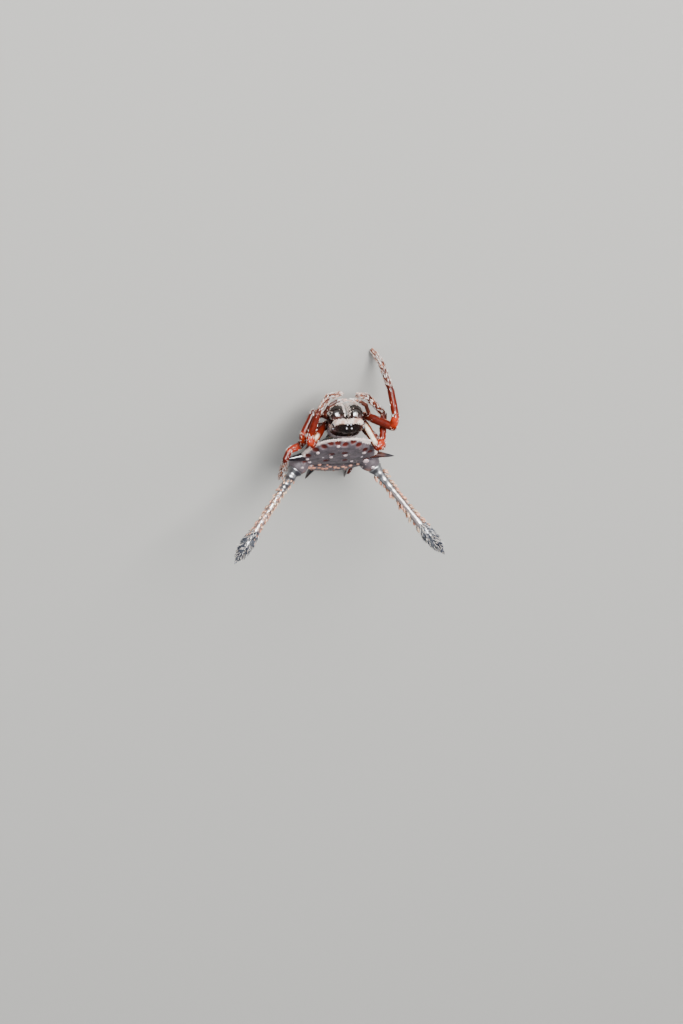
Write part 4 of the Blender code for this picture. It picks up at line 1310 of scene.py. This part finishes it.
skin_points = points_of(SHIELD_SKIN)
chance = random.Random(3)
warts = []
wart_colours = []


def shield_top(x, y):
    """The highest point of the finished skin close to a place in plan."""
    away = np.hypot(skin_points[:, 0] - x, skin_points[:, 1] - y)
    near = away < LOOK_ROUND
    if near.any():
        return Vector((x, y, skin_points[near, 2].max() - SUNK))
    return Vector(skin_points[away.argmin()])


def shield_spot(scale, angle):
    """The top of the shield at a share of its outline and an angle round it."""
    length = REAR_LENGTH if math.sin(angle) > 0.0 else FRONT_LENGTH
    return shield_top(HALF_WIDTH * scale * math.cos(angle), WIDEST_Y + length * scale * math.sin(angle))


def add_wart(centre, radius, colour, tone):
    """One low, uneven ball and its colour, made lighter or darker by a tone."""
    wart = bmesh.new()
    bmesh.ops.create_uvsphere(wart, u_segments=20, v_segments=12, radius=radius)
    squash = Matrix.Diagonal((1.05, chance.uniform(0.80, 1.10), 0.50, 1.0))
    spin = Matrix.Rotation(chance.uniform(0.0, math.pi), 4, "Z")
    bmesh.ops.transform(wart, matrix=Matrix.Translation(centre) @ spin @ squash, verts=wart.verts)
    wart_colours.append(np.tile([tone * share for share in colour], (len(wart.verts), 1)))
    warts.append(wart)


print("the shield's top at its middle, mm:", round(shield_top(0.0, WIDEST_Y).z, 2))

# %% Make the granules
# Place in plan and radius.
FLAT_GRANULES = (
    (0.70, 1.43, 0.150), (-0.25, 2.90, 0.165), (-1.68, 2.59, 0.175), (-1.14, 4.25, 0.120),
    (2.61, 3.65, 0.150), (2.29, 4.23, 0.150), (1.92, 5.11, 0.150), (2.08, 2.49, 0.150),
    (0.84, 3.21, 0.155), (-2.37, 4.39, 0.240), (-2.96, 4.78, 0.170), (1.45, 3.30, 0.080),
    (-1.75, 3.50, 0.090), (2.85, 4.60, 0.130),
)
PEACH_GRANULES = (
    (-0.14, 5.47, 0.175), (0.81, 5.70, 0.190), (1.26, 4.95, 0.150), (2.00, 5.38, 0.200),
    (0.32, 5.35, 0.140), (-0.75, 5.40, 0.150), (-1.35, 5.28, 0.165), (1.60, 5.50, 0.185),
    (0.62, 4.98, 0.090), (-1.95, 5.15, 0.140), (0.50, 5.72, 0.150), (1.15, 5.52, 0.145),
    (-0.48, 5.70, 0.140), (-1.05, 5.62, 0.150), (1.78, 5.12, 0.110),
)
MARGIN_GRANULES = 17
MARGIN_START, MARGIN_SPAN = 42.0, 96.0
MARGIN_RADIUS = 0.115
TINY_GRANULES = 60
TINY_REACH = 0.86
PEARL = (0.64, 0.50, 0.52)
PEACH_PEARL = (0.60, 0.27, 0.18)
MARGIN_PEARL = (0.62, 0.30, 0.20)
TINY_PEARL = (0.48, 0.34, 0.34)

for places, colour in ((FLAT_GRANULES, PEARL), (PEACH_GRANULES, PEACH_PEARL)):
    for x, y, radius in places:
        tone = chance.uniform(*TONES)
        add_wart(shield_top(x, y), radius, colour, tone)
for index in range(MARGIN_GRANULES):
    share = (index + chance.uniform(-0.25, 0.25)) / (MARGIN_GRANULES - 1)
    place = shield_spot(chance.uniform(0.95, 0.99), math.radians(MARGIN_START + MARGIN_SPAN * share))
    tone = chance.uniform(0.8, 1.1)
    lower = Vector((0.0, 0.0, chance.uniform(0.0, 0.16)))
    add_wart(place - lower, MARGIN_RADIUS * chance.uniform(0.8, 1.2), MARGIN_PEARL, tone)
for _ in range(TINY_GRANULES):
    angle = chance.uniform(0.0, FULL_TURN)
    place = shield_spot(TINY_REACH * math.sqrt(chance.random()), angle)
    tone = chance.uniform(0.3, 1.0)
    add_wart(place, chance.uniform(0.030, 0.055), TINY_PEARL, tone)
wart_data = as_mesh(joined(warts), "granules")
finish("granules", wart_data, np.concatenate(wart_colours), "bead")

# %% [markdown]
# ## Short spines
# In front of each long spine stands a short black one that points sideways, and a third pair
# points to the rear. They are plain glossy thorns, as dark and wet as the head. A cone would taper
# too evenly: a thorn narrows fast at first and then runs out, so its profile is a short table.

# %% Make the short spines
# Root and run of each left spine.
SHORT_SPINES = (
    ((2.85, 3.75, 0.05), (1.75, 0.15, 0.15)), ((1.32, 6.00, -0.68), (0.30, 2.00, -0.07)),
)
SHORT_RADIUS = 0.36
# Share of the length, and share of the radius there.
SHORT_PROFILE = (
    (-0.37, 0.0), (-0.34, 0.85), (-0.10, 1.0), (0.04, 0.95), (0.12, 0.89), (0.25, 0.78), (0.40, 0.64),
    (0.55, 0.52), (0.70, 0.38), (0.82, 0.27), (0.92, 0.15), (0.98, 0.05), (1.0, 0.0),
)
SHORT_GRAIN = 0.012
THORN_BLACK = (0.016, 0.012, 0.016)
THORN_BROWN = (0.060, 0.020, 0.014)

thorns = []
for root, run in SHORT_SPINES:
    for _, sign in SIDES:
        start, reach_out = flipped(root, sign), flipped(run, sign)
        length = reach_out.length
        profile = [(width * SHORT_RADIUS, share * length) for share, width in SHORT_PROFILE]
        thorns.append(between(spun(profile, 36), start, start + reach_out))
thorn_data = as_mesh(joined(thorns), "short_spines")
points = points_of(thorn_data)
grain = SHORT_GRAIN * grain_at(points, 4.0, 6.0)
set_points(thorn_data, points + grain[:, None] * normals_of(thorn_data))
colours = mixed(THORN_BLACK, THORN_BROWN, ramp(grain_at(points, 1.2, 2.0), 0.0, 0.4))
finish("short_spines", thorn_data, colours, "shell")

# %% [markdown]
# ## Long spines
# Each long spine is a black, very glossy shaft. Near its root it is beaded, then it runs evenly to
# a swollen club and ends in a thin point. The two aren't alike: the right one is smoother. A
# curve with a bevel could taper, but beads need a profile, so the shaft is spun from a radius
# that any other step can ask for, as the bristles and hairs do to find its surface.

# %% Make the shafts
SHAFT = 0.28
CLUB = 0.47
SPINE_LENGTH = SPINE_REACH.length
# Share of the length, and radius there.
SHAFT_PROFILE = np.array((
    (0.045, 1.60 * SHAFT), (0.10, 1.25 * SHAFT), (0.18, 1.05 * SHAFT), (0.30, SHAFT), (0.50, SHAFT),
    (0.60, 1.10 * SHAFT), (0.68, 0.80 * CLUB), (0.75, CLUB), (0.82, 0.94 * CLUB), (0.88, 0.66 * CLUB),
    (0.925, 0.34 * CLUB), (0.96, 0.20 * CLUB), (1.0, 0.0),
))
SHAFT_BASE = 0.10
BASE_RADIUS = 0.58
SHAFT_ROOT = [(0.0, -0.45), (0.40, -0.40), (0.50, -0.15), (0.55, SHAFT_BASE - 0.03)]
BEADS = {"left": 0.11, "right": 0.05}
BEAD_STEP = 0.62
SHAFT_FINISH = {"left": "spine", "right": "smooth_spine"}
SHAFT_GRAIN = 0.010
ROOT_BLACK = (0.014, 0.012, 0.018)
SHAFT_BROWN = (0.060, 0.016, 0.012)
CLUB_SLATE = (0.050, 0.055, 0.075)
TIP_BLACK = (0.012, 0.012, 0.018)


def shaft_radius(distance, side):
    """Radius of one side's shaft at a distance from its root, for numbers or arrays."""
    places = np.concatenate([[SHAFT_BASE], SHAFT_BASE + SHAFT_PROFILE[:, 0] * (SPINE_LENGTH - SHAFT_BASE)])
    widths = np.concatenate([[BASE_RADIUS], SHAFT_PROFILE[:, 1]])
    soft = [np.interp(distance + shift, places, widths) for shift in (-0.12, 0.0, 0.12)]
    beads = 1.0 + BEADS[side] * np.sin(FULL_TURN * distance / BEAD_STEP) * (1.0 - ramp(distance, 2.2, 3.2))
    return sum(soft) / 3.0 * beads


distances = np.linspace(SHAFT_BASE, SPINE_LENGTH, 170)
for side, (start, end) in spine_ends.items():
    radii = shaft_radius(distances, side)
    profile = SHAFT_ROOT + [(float(radius), float(place)) for radius, place in zip(radii, distances)]
    profile[-1] = (0.0, SPINE_LENGTH)
    data = as_mesh(between(spun(profile, 36), start, end), "shaft")
    points = points_of(data)
    distance = (points - np.array(start)) @ np.array((end - start).normalized())
    grain = SHAFT_GRAIN * grain_at(points, 5.0, 1.0)
    set_points(data, points + grain[:, None] * normals_of(data))
    colours = mixed(ROOT_BLACK, SHAFT_BROWN, ramp(distance, 1.5, 3.5))
    colours = mixed(colours, CLUB_SLATE, ramp(distance, 5.6, 6.6))
    colours = mixed(colours, TIP_BLACK, ramp(distance, 8.2, 8.5))
    finish(
        f"long_spine_{side}_shaft", data, colours, SHAFT_FINISH[side],
        [f"long_spine_{side}"])

# %% [markdown]
# ## Bristles of the long spines
# Stout cream bristles lie along the shaft like shingles, in rings whose bristles stand between
# those of the next ring. The right shaft has fewer and longer ones and is bare along the side
# that faces the camera, where the photo shows one long strip of light. The left one keeps most of
# its bristles there, and has fewer near its root. Drawn by chance alone they would stand in
# clumps, so chance only shifts each a little from its place in the ring.

# %% Define the bristles
SHINGLES_IN_RING = 8
FIRST_RING, LAST_RING = 0.75, 6.45
# Step between rings, length, thickness and lean in degrees. The last value is how far a bristle
# may turn to the camera (1 is straight at it) before it is left out.
BRISTLES = {
    "left": {"step": 0.27, "length": 0.35, "width": 0.070, "lean": (22.0, 46.0), "bare": 0.80},
    "right": {"step": 0.42, "length": 0.52, "width": 0.115, "lean": (30.0, 52.0), "bare": 0.62},
}
LEFT_KEPT = 0.85
THIN_UNTIL, THIN_SHARE = 2.0, 0.45
CREAM = (0.72, 0.52, 0.36)
SALMON = (0.66, 0.27, 0.17)


def around(start, end, distances, angles):
    """Points, outward directions and the heading at places given by distance and angle."""
    heading = unit(np.array(end) - np.array(start))
    first = unit(np.cross(heading, (0.0, 0.0, 1.0)))
    second = np.cross(heading, first)
    outward = np.cos(angles)[:, None] * first + np.sin(angles)[:, None] * second
    return np.array(start) + distances[:, None] * heading, outward, np.tile(heading, (len(distances), 1))


def spine_unwrap(angle, distance):
    """The place on the shaft's own unwrap."""
    return in_columns((angle % FULL_TURN) / FULL_TURN, distance / SPINE_LENGTH)


def bristles_of(side, dice):
    """The stout bristles of one long spine."""
    shape = BRISTLES[side]
    rings = np.arange(FIRST_RING, LAST_RING, shape["step"])
    total = len(rings) * SHINGLES_IN_RING
    distance = np.repeat(rings, SHINGLES_IN_RING) + dice.uniform(-0.10, 0.10, total)
    shift = np.repeat(0.5 * (np.arange(len(rings)) % 2), SHINGLES_IN_RING)
    angle = FULL_TURN * (np.tile(np.arange(SHINGLES_IN_RING), len(rings)) + shift) / SHINGLES_IN_RING
    angle += dice.uniform(-0.22, 0.22, total)
    start, end = spine_ends[side]
    centre, outward, heading = around(start, end, distance, angle)
    keep = outward @ np.array(TO_CAMERA) < shape["bare"]
    if side == "left":
        keep |= dice.random(total) < LEFT_KEPT
    thin = (distance < THIN_UNTIL) & (dice.random(total) < THIN_SHARE) & (side == "left")
    keep &= ~thin
    distance, angle = distance[keep], angle[keep]
    centre, outward, heading = centre[keep], outward[keep], heading[keep]
    count = len(distance)
    roots = centre + (shaft_radius(distance, side) - 0.05)[:, None] * outward
    lean = dice.uniform(*(math.radians(limit) for limit in shape["lean"]), count)
    tone = dice.uniform(0.70, 1.1, count)[:, None]
    cream = mixed(CREAM, SALMON, dice.random(count)) * tone
    lengths = shape["length"] * dice.uniform(0.7, 1.3, count)
    widths = shape["width"] * dice.uniform(0.8, 1.15, count)
    return grow(
        roots, leaning(outward, heading, lean), outward, lengths, widths, spine_unwrap(angle, distance),
        0.10 * cream, np.minimum(cream * 1.25, 0.9), profile=BLUNT, sides=7, bend=0.10)


for side, shape in BRISTLES.items():
    print(side, "rings of bristles:", len(np.arange(FIRST_RING, LAST_RING, shape["step"])))

# %% [markdown]
# ## Hairs of the clubs
# The club has a dense coat of short slate-grey hairs. Some have pale tips, and about one in nine is
# a bold, white, upright hair. Towards the spine's point they get short and let it through. These
# stand in no order, so rings would look wrong and their places are drawn by chance. They share a
# mesh with the bristles, since both are the spine's coat.

# %% Grow the coats of the long spines
CLUB_HAIRS = 1800
CLUB_FROM, CLUB_TO = 5.8, 8.80
BOLD_SHARE = 0.11
SLATE_DARK = (0.010, 0.012, 0.020)
SLATE = (0.036, 0.042, 0.066)
SLATE_TIP = (0.018, 0.022, 0.036)
SLATE_TIP_PALE = (0.20, 0.22, 0.29)
BOLD_CREAM = (0.80, 0.68, 0.58)
BOLD_WHITE = (0.93, 0.93, 0.92)


def club_hairs_of(side, dice):
    """The short coat of one club."""
    count = CLUB_HAIRS
    distance = dice.uniform(CLUB_FROM, CLUB_TO, count)
    angle = dice.uniform(0.0, FULL_TURN, count)
    start, end = spine_ends[side]
    centre, outward, heading = around(start, end, distance, angle)
    roots = centre + (shaft_radius(distance, side) - 0.03)[:, None] * outward
    bold = dice.random(count) < BOLD_SHARE
    lean = np.where(bold, dice.uniform(0.55, 1.05, count), dice.uniform(0.12, 0.85, count))
    slate = mixed(SLATE_DARK, SLATE, dice.random(count))
    tips = mixed(SLATE_TIP, SLATE_TIP_PALE, ramp(dice.random(count), 0.62, 0.97))
    tips = np.where(bold[:, None], mixed(BOLD_CREAM, BOLD_WHITE, dice.random(count)), tips)
    shorter = 1.0 - 0.65 * ramp(distance, 8.0, 8.7)
    lengths = np.where(bold, 0.44, 0.40) * shorter * dice.uniform(0.7, 1.2, count)
    widths = np.where(bold, 0.046, 0.028) * dice.uniform(0.8, 1.3, count)
    return grow(
        roots, leaning(outward, heading, lean), outward, lengths, widths, spine_unwrap(angle, distance),
        slate, tips, profile=FINE, sides=4, bend=0.15)


for side, _ in SIDES:
    dice = np.random.default_rng(11)
    data, colours = merged_coat([bristles_of(side, dice), club_hairs_of(side, dice)])
    finish(f"long_spine_{side}_bristles", data, colours, "bristle")

# %% [markdown]
# ## Spinnerets
# At the tip of the belly a dark ring holds four short spinnerets that lean together. They could be
# melted together as the limbs are, but they are set apart, so that each shows its own end.

# %% Make the spinnerets
RING_PROFILE = (
    (0.0, -0.12), (0.18, -0.20), (0.30, -0.24), (0.42, -0.12), (0.45, 0.05), (0.42, 0.24), (0.0, 0.28),
)
SPINNERET_PLACES = ((0.16, -0.14), (-0.16, -0.14), (0.17, 0.16), (-0.17, 0.16))
SPINNERET_LEAN = 0.7
SPINNERET_LENGTH = 0.42
SPINNERET_RADII = (0.13, 0.13, 0.08)
SPINNERET_DARK = (0.030, 0.018, 0.014)
SPINNERET_BROWN = (0.10, 0.050, 0.030)

centre = Vector((0.0, WIDEST_Y + 0.15, level_at(WIDEST_Y) - RIM - BELLY))
ring_body = spun(RING_PROFILE, 40)
bmesh.ops.translate(ring_body, verts=ring_body.verts, vec=centre)
bars = [ring_body]
for x, y in SPINNERET_PLACES:
    start = centre + Vector((x, y, 0.0))
    end = centre + Vector((SPINNERET_LEAN * x, SPINNERET_LEAN * y, -SPINNERET_LENGTH))
    bars.append(limb_bar(start, end, SPINNERET_RADII))
data = as_mesh(joined(bars), "spinnerets")
points = points_of(data)
colours = mixed(SPINNERET_DARK, SPINNERET_BROWN, ramp(-points[:, 2], -centre.z, -centre.z + 0.4))
finish("spinnerets_skin", data, colours, "shell", ["spinnerets"])

# %% [markdown]
# ## Hairs of the legs and palps
# Short white and cream hairs stand on the kneecaps and the joints, and they grow densely on the
# last two pieces of each leg, which look pale because of them. Between them lie thin rusty hairs.
# Painting them would do from afar, but they break the outline of the feet, so they are real
# hairs that lie towards the foot, thicker where a density for each piece says.

# %% Grow the limb hairs
LEG_DENSITY = np.array((0.10, 0.10, 0.06, 0.18, 0.07, 1.3, 1.9))
PALP_DENSITY = np.array((0.10, 0.15, 0.25, 0.5, 6.0))
DENSITIES = {"leg": LEG_DENSITY, "palp": PALP_DENSITY}
LIMB_HAIRS = {"leg": 600, "palp": 190}
JOINT_TUFTS = 4.5
FIRST_SEED = 40
BOLD_LIMB_SHARE = 0.26
RUSTY_SHARE = 0.62
HAIR_SALMON = (0.72, 0.30, 0.17)
HAIR_WHITE = (0.95, 0.93, 0.90)
RUST_DARK = (0.045, 0.010, 0.006)
RUST = (0.26, 0.055, 0.024)


def limb_coat(name, seed):
    """Hairs over one limb, thick where its densities say, pointing to its tip."""
    joints, radii, _ = LIMBS[name]
    kind = name.split("_")[0]

    def weigh(points, normals):
        """How densely hair grows: by piece, in tufts at the joints, and not where a foot stands."""
        piece, share, _ = place_on_limb(points, joints, radii)
        near_joint = np.maximum(ramp(share, 0.80, 0.97), 1.0 - ramp(share, 0.03, 0.16))
        high = (points - np.array(FLOOR_POINT)) @ np.array(FLOOR_NORMAL)
        tufts = 1.0 + JOINT_TUFTS * near_joint * (piece < 5)
        return DENSITIES[kind][piece] * tufts * ramp(high, 0.02, 0.10)

    places, outward, dice = scatter(LIMB_SKINS[name], LIMB_HAIRS[kind], weigh, seed)
    piece, share, heading = place_on_limb(places, joints, radii)
    count = len(places)
    pale = piece >= len(radii) - 2
    lean = np.where(pale, dice.uniform(0.30, 0.75, count), dice.uniform(0.35, 0.95, count))
    length = np.where(pale, dice.uniform(0.18, 0.36, count), dice.uniform(0.12, 0.26, count))
    bold = dice.random(count) < BOLD_LIMB_SHARE
    width = np.where(bold, 0.038, 0.015) * dice.uniform(0.8, 1.3, count)
    white = mixed(HAIR_SALMON, HAIR_WHITE, ramp(dice.random(count), 0.15, 0.45))
    rusty = ~bold & (dice.random(count) < RUSTY_SHARE) & (piece < len(radii) - (kind == "palp"))
    white = np.where(rusty[:, None], mixed(RUST_DARK, RUST, dice.random(count)), white)
    uvs = in_columns(turn_share(outward[:, 2], outward[:, 0]), (piece + share) / len(radii))
    return grow(
        places, leaning(outward, heading, lean), outward, length, width, uvs, white * 0.7, white, bend=0.30)


for side, _ in SIDES:
    coats = [limb_coat(name, FIRST_SEED + index) for index, name in enumerate(LIMBS) if name.endswith(side)]
    data, colours = merged_coat(coats)
    finish(f"limb_hairs_{side}", data, colours, "hair")

# %% [markdown]
# ## Hairs of the face
# A dense white band of hair runs across the face below the eyes, and grey hair covers the nape.
# Fine pale hairs also fill the gap between the chelicerae and hang in a brush below them. They
# hide the edges of the plates there, which is why the band looks soft and bright in the photo.
# One weight says where hair grows on the head, and another does so for each jaw.

# %% Grow the face hairs
FACE_HAIRS = 3200
JAW_HAIRS = 520
FACE_CREAM = (0.82, 0.64, 0.54)
FACE_BROWN = (0.62, 0.34, 0.24)
NAPE_HAIR = (0.36, 0.30, 0.34)
JAW_CREAM = (0.80, 0.60, 0.52)
JAW_WHITE = (0.95, 0.92, 0.88)


def face_weight(points, normals):
    """How densely hair grows on the head: the band, a little on the cheeks, and the nape."""
    x, y, z = points.T
    cheeks = 0.18 * ramp(np.abs(x), 1.20, 1.32) * ramp(-y, -2.2, -1.2) * ramp(z, -0.9, -0.3)
    nape = 0.40 * ramp(y, 0.95, 1.20) * ramp(-y, -2.0, -1.5) * ramp(normals[:, 2], 0.1, 0.4)
    lumps = 0.25 + 0.75 * ramp(grain_at(points, 3.2, 2.0), -0.25, 0.15)
    return lumps * face_band(points, normals) + cheeks + nape


def jaw_weight(points, normals, sign):
    """How densely hair grows on one jaw: the gap between the two, a brush below and the outer side."""
    z = points[:, 2]
    inner = 0.8 * ramp(-sign * normals[:, 0], 0.45, 0.75)
    gap = inner * ramp(-normals[:, 1], -0.2, 0.2) * ramp(-z, 0.7, 0.9)
    brush = 1.6 * ramp(-z, 1.62, 1.85) * ramp(-normals[:, 1], -0.5, 0.1) * ramp(z, -2.15, -2.08)
    outer = 0.25 * ramp(sign * normals[:, 0], 0.5, 0.8) * ramp(-z, 0.9, 1.2)
    return gap + brush + outer + 0.02


def head_coat():
    """The hair of the head."""
    places, outward, dice = scatter(HEAD_SKIN, FACE_HAIRS, face_weight, 71)
    count = len(places)
    flow = in_columns(0.8 * places[:, 0], np.full(count, -0.25), np.full(count, -0.4))
    flow += dice.normal(0.0, 0.6, (count, 3))
    white = mixed(FACE_CREAM, HAIR_WHITE, dice.random(count))
    white = mixed(white, FACE_BROWN, 0.8 * ramp(grain_at(places, 3.0, 4.0), 0.0, 0.35))
    white = mixed(white, NAPE_HAIR, 0.8 * ramp(places[:, 1], 0.6, 1.0))
    uvs = in_columns(0.5 + places[:, 0] / 3.2, turn_share(places[:, 2] + 0.5, -places[:, 1]))
    headings = leaning(outward, flow, dice.uniform(0.20, 0.65, count))
    lengths = dice.uniform(0.08, 0.17, count)
    widths = 0.016 * dice.uniform(0.7, 1.4, count)
    return grow(places, headings, outward, lengths, widths, uvs, 0.8 * white, white)


def jaw_coat(side, sign):
    """The hair of one jaw, which is longest in the brush at its end."""
    places, outward, dice = scatter(
        CHELICERA_SKINS[side], JAW_HAIRS, lambda points, normals: jaw_weight(points, normals, sign), 81)
    count = len(places)
    flow = in_columns(np.full(count, -0.5 * sign), np.full(count, -0.5), np.full(count, -1.0))
    flow += dice.normal(0.0, 0.35, (count, 3))
    white = mixed(JAW_CREAM, JAW_WHITE, dice.random(count))
    uvs = in_columns(turn_share(outward[:, 1], outward[:, 0]), -places[:, 2] / 2.5)
    low = ramp(-places[:, 2], 1.5, 1.9)
    headings = leaning(outward, flow, dice.uniform(0.3, 0.9, count))
    lengths = (0.13 + 0.15 * low) * dice.uniform(0.7, 1.2, count)
    widths = 0.020 * dice.uniform(0.7, 1.3, count)
    return grow(places, headings, outward, lengths, widths, uvs, 0.85 * white, white)


data, colours = merged_coat([head_coat()] + [jaw_coat(side, sign) for side, sign in SIDES])
finish("face_hairs", data, colours, "hair")

# %% [markdown]
# ## Hairs of the shield's front rim
# Another dense white band covers the front rim of the shield. A thick white edge on the mesh would
# look like plastic. Short tangled hairs catch the light one by one, and the pale skin under them
# closes the gaps.

# %% Grow the rim hairs
RIM_HAIRS = 5200
RIM_CREAM = (0.84, 0.66, 0.62)
RIM_HAIR_WHITE = (0.95, 0.92, 0.90)


def rim_weight(points, normals):
    """How densely hair grows on the shield: its front rim, wider on the right."""
    scale, angle = shield_place(points)
    front = ramp(-np.sin(angle), 0.04, 0.22)
    inner = np.where(points[:, 0] < -1.2, 0.905, 0.945)
    band = front * ramp(scale, inner, inner + 0.035) * ramp(-scale, -1.08, -1.02)
    return band * ramp(normals[:, 2], -0.35, 0.1)


places, outward, dice = scatter(SHIELD_SKIN, RIM_HAIRS, rim_weight, 72)
count = len(places)
flow = in_columns(0.4 * places[:, 0], places[:, 1] - WIDEST_Y, np.full(count, 0.8))
flow += dice.normal(0.0, 0.8, (count, 3))
white = mixed(RIM_CREAM, RIM_HAIR_WHITE, dice.random(count))
uvs = in_columns(0.5 + places[:, 0] / 8.0, 0.5 + (places[:, 1] - WIDEST_Y) / 8.0)
headings = leaning(outward, flow, dice.uniform(0.2, 0.6, count))
lengths = dice.uniform(0.10, 0.20, count)
widths = 0.015 * dice.uniform(0.7, 1.4, count)
data, colours = grow(places, headings, outward, lengths, widths, uvs, 0.85 * white, white)
finish("rim_hairs", data, colours, "hair")
